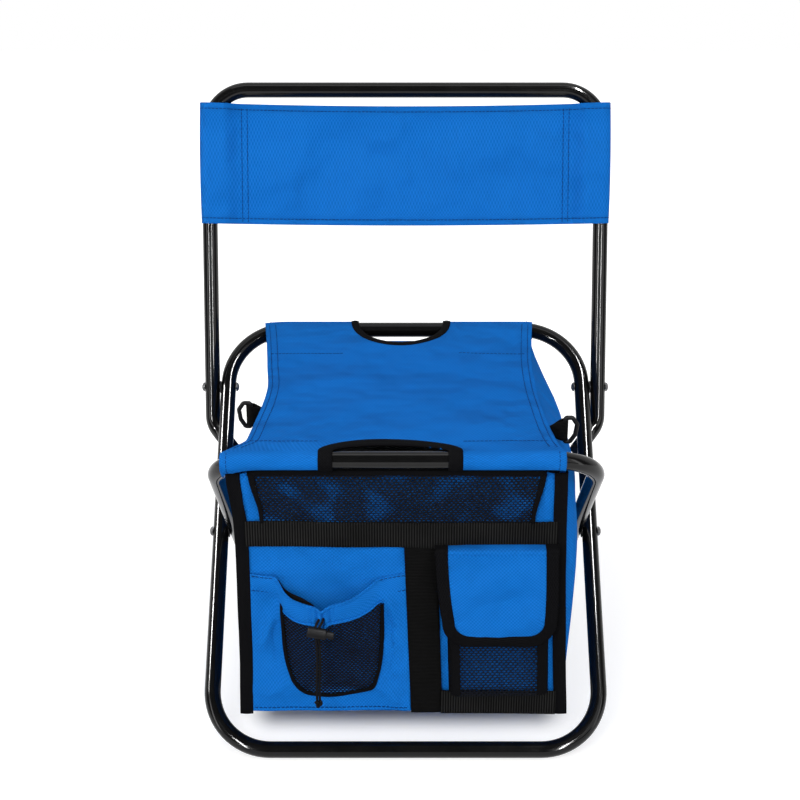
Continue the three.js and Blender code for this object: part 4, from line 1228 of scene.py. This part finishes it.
# The flap's root by share of its way: out from the front, and height
ROOT_OUT = [(0, 1.5), (0.4, 7.2), (0.7, 11.3), (0.8, 11.2), (1, 9.9)]
ROOT_Z = [(0, 233.4), (0.4, 233.0), (0.7, 231.8), (0.8, 230.6), (1, 227.5)]


def box_place(u, v):
    """The pocket's front, which stands off the bag on pleated sides."""
    x, z = mix(BOX_X0, BOX_X1, u), mix(BOX_LOW, BOX_HIGH, v)
    out = BOX_OUT * smooth(0, 5, min(x - BOX_X0 + 1.2, BOX_X1 + 1.2 - x)) + 0.6
    return on_front(x + mix(4, 0, v), z, out + ripple(x, 3, z, 40) * 0.6)


def box_net_place(x, z):
    """On the pocket's front, between its two strips and just behind them."""
    return box_place((x + 9) / (BOX_X1 - BOX_X0), z / (BOX_HIGH - BOX_LOW)) + Vector((0, 0.6, 0))


pocket_sides = surface("flap_pocket_strips", 60, 60, box_place, BLACK_TAPE, 1.2, FORWARD,
                       lambda u, v: u < 0.115 or u > 0.885 or v > 0.93)
belongs(pocket_sides, "bag", "black_webbing", "flap_pocket_sides")
flap_net = net("flap_pocket_net_mesh", 76, 126, box_net_place, lambda x, z: True, 4.3, 2.6, lambda x, z: 0.69)
belongs(flap_net, "bag", "black_net", "flap_pocket_net")


def flap_place(u, v):
    """The flap inside its binding, from its lower edge to its hinge. The lower corners are round."""
    u, v = mix(0.09, 0.91, u), mix(0.095, 1, v)
    side = min(u, 1 - u)
    rise = FLAP_CORNER - math.sqrt(max(FLAP_CORNER ** 2 - max(FLAP_CORNER - side * FLAP_WIDTH, 0) ** 2, 0))
    z = mix(FLAP_LOW + rise, FLAP_TOP, v)
    x = mix(interpolate(FLAP_LEFT, z), interpolate(FLAP_RIGHT, z), u)
    belly = FLAP_BELLY * arch(u) * arch(v)
    crease = 2.2 * math.sin((z - 0.3 * x) * 0.115) * smooth(0.1, 0.32, side) * arch(v)
    return Vector((x, FLAP_Y - belly - crease, z))


flap = surface("flap", 70, 66, flap_place, BLUE, 1.2, FORWARD)
belongs(flap, "pocket_flap", "blue_cloth", "pocket_flap")


def flap_outline():
    """Round the flap's free edges from hinge to hinge: (x, z), and the direction in from there."""
    low = FLAP_LOW + FLAP_CORNER
    sides = []
    for table, inward in ((FLAP_LEFT, 1), (FLAP_RIGHT, -1)):
        points = [(interpolate(table, z), z, inward, 0) for z in (230.8, 215, 200, 180, 170, 162)]
        centre = interpolate(table, low) + inward * FLAP_CORNER
        for k in range(11):
            turn = k / 10 * math.pi / 2
            dx, dz = inward * math.cos(turn), math.sin(turn)
            points.append((centre - FLAP_CORNER * dx, low - FLAP_CORNER * dz, dx, dz))
        sides.append(points)
    left, right = sides
    return left + right[::-1]


def make_flap_binding():
    outline = flap_outline()

    def place(u, v):
        x, z, dx, dz = along_points(outline, v)
        crown = 0.6 + 1.1 * arch(u) + ripple(x, 6, z, 11) * 0.5
        x, z = x + dx * 11.5 * u, z + dz * 11.5 * u
        belly = FLAP_BELLY * arch(clamp((x - 32) / 106)) * arch(clamp((z - FLAP_LOW) / (FLAP_TOP - FLAP_LOW)))
        return Vector((x, FLAP_Y - belly - crown, z))
    made = surface("flap_binding", 6, 150, place, BLACK_TAPE, 2.0, FORWARD)
    belongs(made, "pocket_flap", "black_webbing", "pocket_flap_binding")


def make_flap_root(name, x0, x1, lift, columns, material, thickness, *nodes):
    """Out from the front to the flap's hinge, then down behind the flap's top edge."""
    def place(u, v):
        rise = lift * (1 - v)
        y, z = BAG_FRONT - interpolate(ROOT_OUT, v) - rise, interpolate(ROOT_Z, v) + rise
        return Vector((mix(x0, x1, u), y, z))
    belongs(surface(name, columns, 14, place, material, thickness), "bag", "black_webbing", *nodes)


make_flap_binding()
make_flap_root("flap_root", 34, 130, 0, 40, BLUE, 1.2, "pocket_flap_root")
make_flap_root("flap_root_left", 25.6, 37.8, 0.5, 6, BLACK_TAPE, 1.6)
make_flap_root("flap_root_right", 126.4, 138.3, 0.5, 6, BLACK_TAPE, 1.6)


# Cord, its knot and its lock

CORD_X, CORD_Y, CORD_TOP, CORD_LENGTH, CORD_D = -81.22, PIVOT_Y - 196.09, 159, 74, 2.4
CORD_BACK = 1.6
LOCK_TILT = 0.2


def knot_points():
    """An overhand knot: a trefoil pulled small."""
    points = []
    for k in range(48):
        t = TAU * k / 48
        x = 1.35 * (math.sin(t) + 2 * math.sin(2 * t)) * 0.75
        z = 1.35 * (math.cos(t) - 2 * math.cos(2 * t)) * 0.75
        y = -1.3 * math.sin(3 * t)
        points.append(Vector((CORD_X + x, CORD_Y + CORD_BACK + y, CORD_TOP - CORD_LENGTH - 3.0 + z)))
    return points


def strand_points(sign):
    """From the lock down to the knot, with a slight sway."""
    points = []
    for k in range(25):
        share = k / 24
        sway = 0.9 * arch(share) + 0.5 * math.sin(TAU * share)
        x = CORD_X + sign * 1.28 + sway
        points.append(Vector((x, CORD_Y + CORD_BACK * share * share, CORD_TOP - CORD_LENGTH * share)))
    return points


def loop_from_hem(sign):
    """From the hem's notch down into the lock."""
    start = pocket_point(CORD_NOTCH + 1.6 * sign, mouth(CORD_NOTCH) - 6, 1.0)
    end = Vector((CORD_X + 1.4 * sign, CORD_Y, CORD_TOP + 4.5))
    middle = start.lerp(end, 0.5) + Vector((1.2 * sign, -2.5, 1.5))
    return [start.lerp(middle, k / 10).lerp(middle.lerp(end, k / 10), k / 10) for k in range(11)]


knot = bar("cord_knot", knot_points(), 1.25, CORD, 8, True)
belongs(knot, "bag", "black_webbing", "drawstring_knot")
for tag, sign in SIDES:
    points = strand_points(sign)
    length = sum((b - a).length for a, b in zip(points, points[1:])) * MM
    strand = bar(f"cord_{tag}", points, CORD_D / 2, CORD, 12)
    belongs(strand, "bag", "black_webbing", f"drawstring_{tag}")
    [point * MM for point in points]
for tag, sign in SIDES:
    belongs(bar(f"cord_loop_{tag}", loop_from_hem(sign), CORD_D / 2, CORD, 10), "bag", "black_webbing")


def rounded_bar(name, x0, x1, radius, bevel):
    """A moulded cylinder across the cord, with rounded rims."""
    section = []
    for k in range(6):
        turn = k / 5 * math.pi / 2
        inset, size = bevel * (1 - math.sin(turn)), radius - bevel * (1 - math.cos(turn))
        section += [(x0 + inset, size), (x1 - inset, size)]
    section.sort()
    axis = [Vector((CORD_X + x, CORD_Y, CORD_TOP - x * LOCK_TILT)) for x, _ in section]
    return bar(name, axis, lambda share: section[round(share * (len(section) - 1))][1], PLASTIC, 28)


lock = rounded_bar("lock_body", -8.5, 8.5, 5.0, 1.2)
belongs(lock, "bag", "black_plastic", "cord_lock_body")
plunger = rounded_bar("lock_plunger", 6.3, 15.3, 3.5, 0.8)
belongs(plunger, "lock_plunger", "black_plastic", "cord_lock_plunger")


# Side tabs and strap rings

TAB_HALF, TAB_LOOP, TAB_SEAM_Z = 10, 4.2, 317
RING_Z, RING_HALF, RING_REACH, RING_R = 327.657, 12, 10, 2.1

# Corners of a ring, from its straight bar outwards and up, with their radii
RING_CORNERS = [(0, -1), (0.5, -1), (0.95, -0.4), (1.1, 0.45), (0.65, 1), (0, 1)]
RING_RADII = [1.6, 2.2, 2.2, 2.2, 2.2, 1.6]


def make_tab(tag, sign, edge, ring_x, y, ring_z):
    """A webbing loop from the seam under the seat's edge, round the bar of its ring and back."""
    base_x = interpolate(edge, y - PIVOT_Y) - sign * 4

    def place(u, v):
        if u < 0.3 or u > 0.7:
            reach = (0.3 - u) / 0.3 if u < 0.3 else (u - 0.7) / 0.3
            x = mix(ring_x - sign * 1.5, base_x, reach)
            side = mix(TAB_LOOP, 0.9, smooth(0, 0.6, reach)) * (-1 if u < 0.3 else 1)
        else:
            around = (u - 0.5) / 0.2 * math.pi / 2
            x = ring_x + sign * (TAB_LOOP * math.cos(around) - 1.5)
            side = TAB_LOOP * math.sin(around)
        out = smooth(0, 1, (x - base_x) / (ring_x - base_x))
        return Vector((x, y + side, mix(TAB_SEAM_Z, ring_z, out) + mix(4, TAB_HALF, out) * (2 * v - 1)))
    belongs(surface(f"tab_{tag}", 40, 10, place, WEB_FINE, 1.3), "bag", "black_webbing", f"strap_tab_{tag}")


def make_ring(tag, sign, ring_x, y, ring_z):
    """A six-sided ring whose straight bar lies in its tab. Its outer side leans out towards the top."""
    corners = []
    for out, up in RING_CORNERS:
        corners.append(Vector((ring_x + sign * RING_REACH * out, y, ring_z + RING_HALF * up)))
    made = bar(f"ring_{tag}", bent_path(corners, RING_RADII, True, 6), RING_R, PLASTIC, 14, True)
    belongs(made, f"ring_{tag}", "black_plastic", f"strap_ring_{tag}")


for tag, sign, edge, ring_x, ahead, drop in (("left", -1, LEFT_EDGE, -148.463, 55.08, 13),
                                             ("right", 1, RIGHT_EDGE, 147.554, 99.96, 9)):
    make_tab(tag, sign, edge, ring_x, PIVOT_Y - ahead, RING_Z - drop)
    make_ring(tag, sign, ring_x, PIVOT_Y - ahead, RING_Z - drop)


# Zip across the back of the bag

ZIP_LOW, ZIP_HIGH, ZIP_HALF, ZIP_PITCH = 274, 288, 130, 1.6


def zip_tape_place(u, v):
    y = BAG_REAR + 1.8 - 0.5 * abs(u - 0.5)
    return Vector((mix(ZIP_HALF, -ZIP_HALF, v), y, mix(ZIP_LOW, ZIP_HIGH, u)))


def make_zip_teeth():
    """Teeth that reach over the middle from both sides in turn."""
    verts, faces = [], []
    middle = (ZIP_LOW + ZIP_HIGH) / 2
    for k in range(int(2 * ZIP_HALF / ZIP_PITCH)):
        x = -ZIP_HALF + ZIP_PITCH * k + ZIP_PITCH / 2
        side = 1 if k % 2 else -1
        tip, root = (Vector((x, BAG_REAR + 1.9, middle + side * reach)) for reach in (-0.8, 2.6))
        add_stitch(verts, faces, tip, root, 0.55)
    belongs(piece("zip_teeth", verts, faces, PLASTIC), "bag", "black_plastic")


def make_zip_part(name):
    """The slider or its pull: the CAD solid with soft edges, on a body of its own."""
    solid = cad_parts[name]
    made = add_object(f"{name}_metal", solid.data.copy())
    made.data.transform(solid.matrix_world)
    made.data.materials.clear()
    made.data.materials.append(STEEL)
    soft = made.modifiers.new("soft_edges", "BEVEL")
    soft.width = 0.4 * MM
    soft.segments = 3
    belongs(settle(made), name, "rivet_steel", name)


zip_tape = surface("zip_tape_cloth", 8, 80, zip_tape_place, BLACK_TAPE, 1.3, BACKWARD)
belongs(zip_tape, "bag", "black_webbing", "zip_tape")
make_zip_teeth()
make_zip_part("zip_slider")
make_zip_part("zip_pull")


# Seams on the drawstring pocket: along its foot, and along both ends of its casing

def bag_seams():
    runs = [[pocket_point(mix(-144, 2, k / 40), 59, 0.35) for k in range(41)]]
    for x0, x1 in ((-142, -121), (-24, 0)):
        steps = [mix(x0, x1, k / 12) for k in range(13)]
        for drop in (2, 17):
            runs.append([pocket_point(x, interpolate(MOUTH, x) - drop, 0.5) for x in steps])
    return runs


belongs(stitches("bag_stitches", bag_seams()), "bag", "blue_cloth")
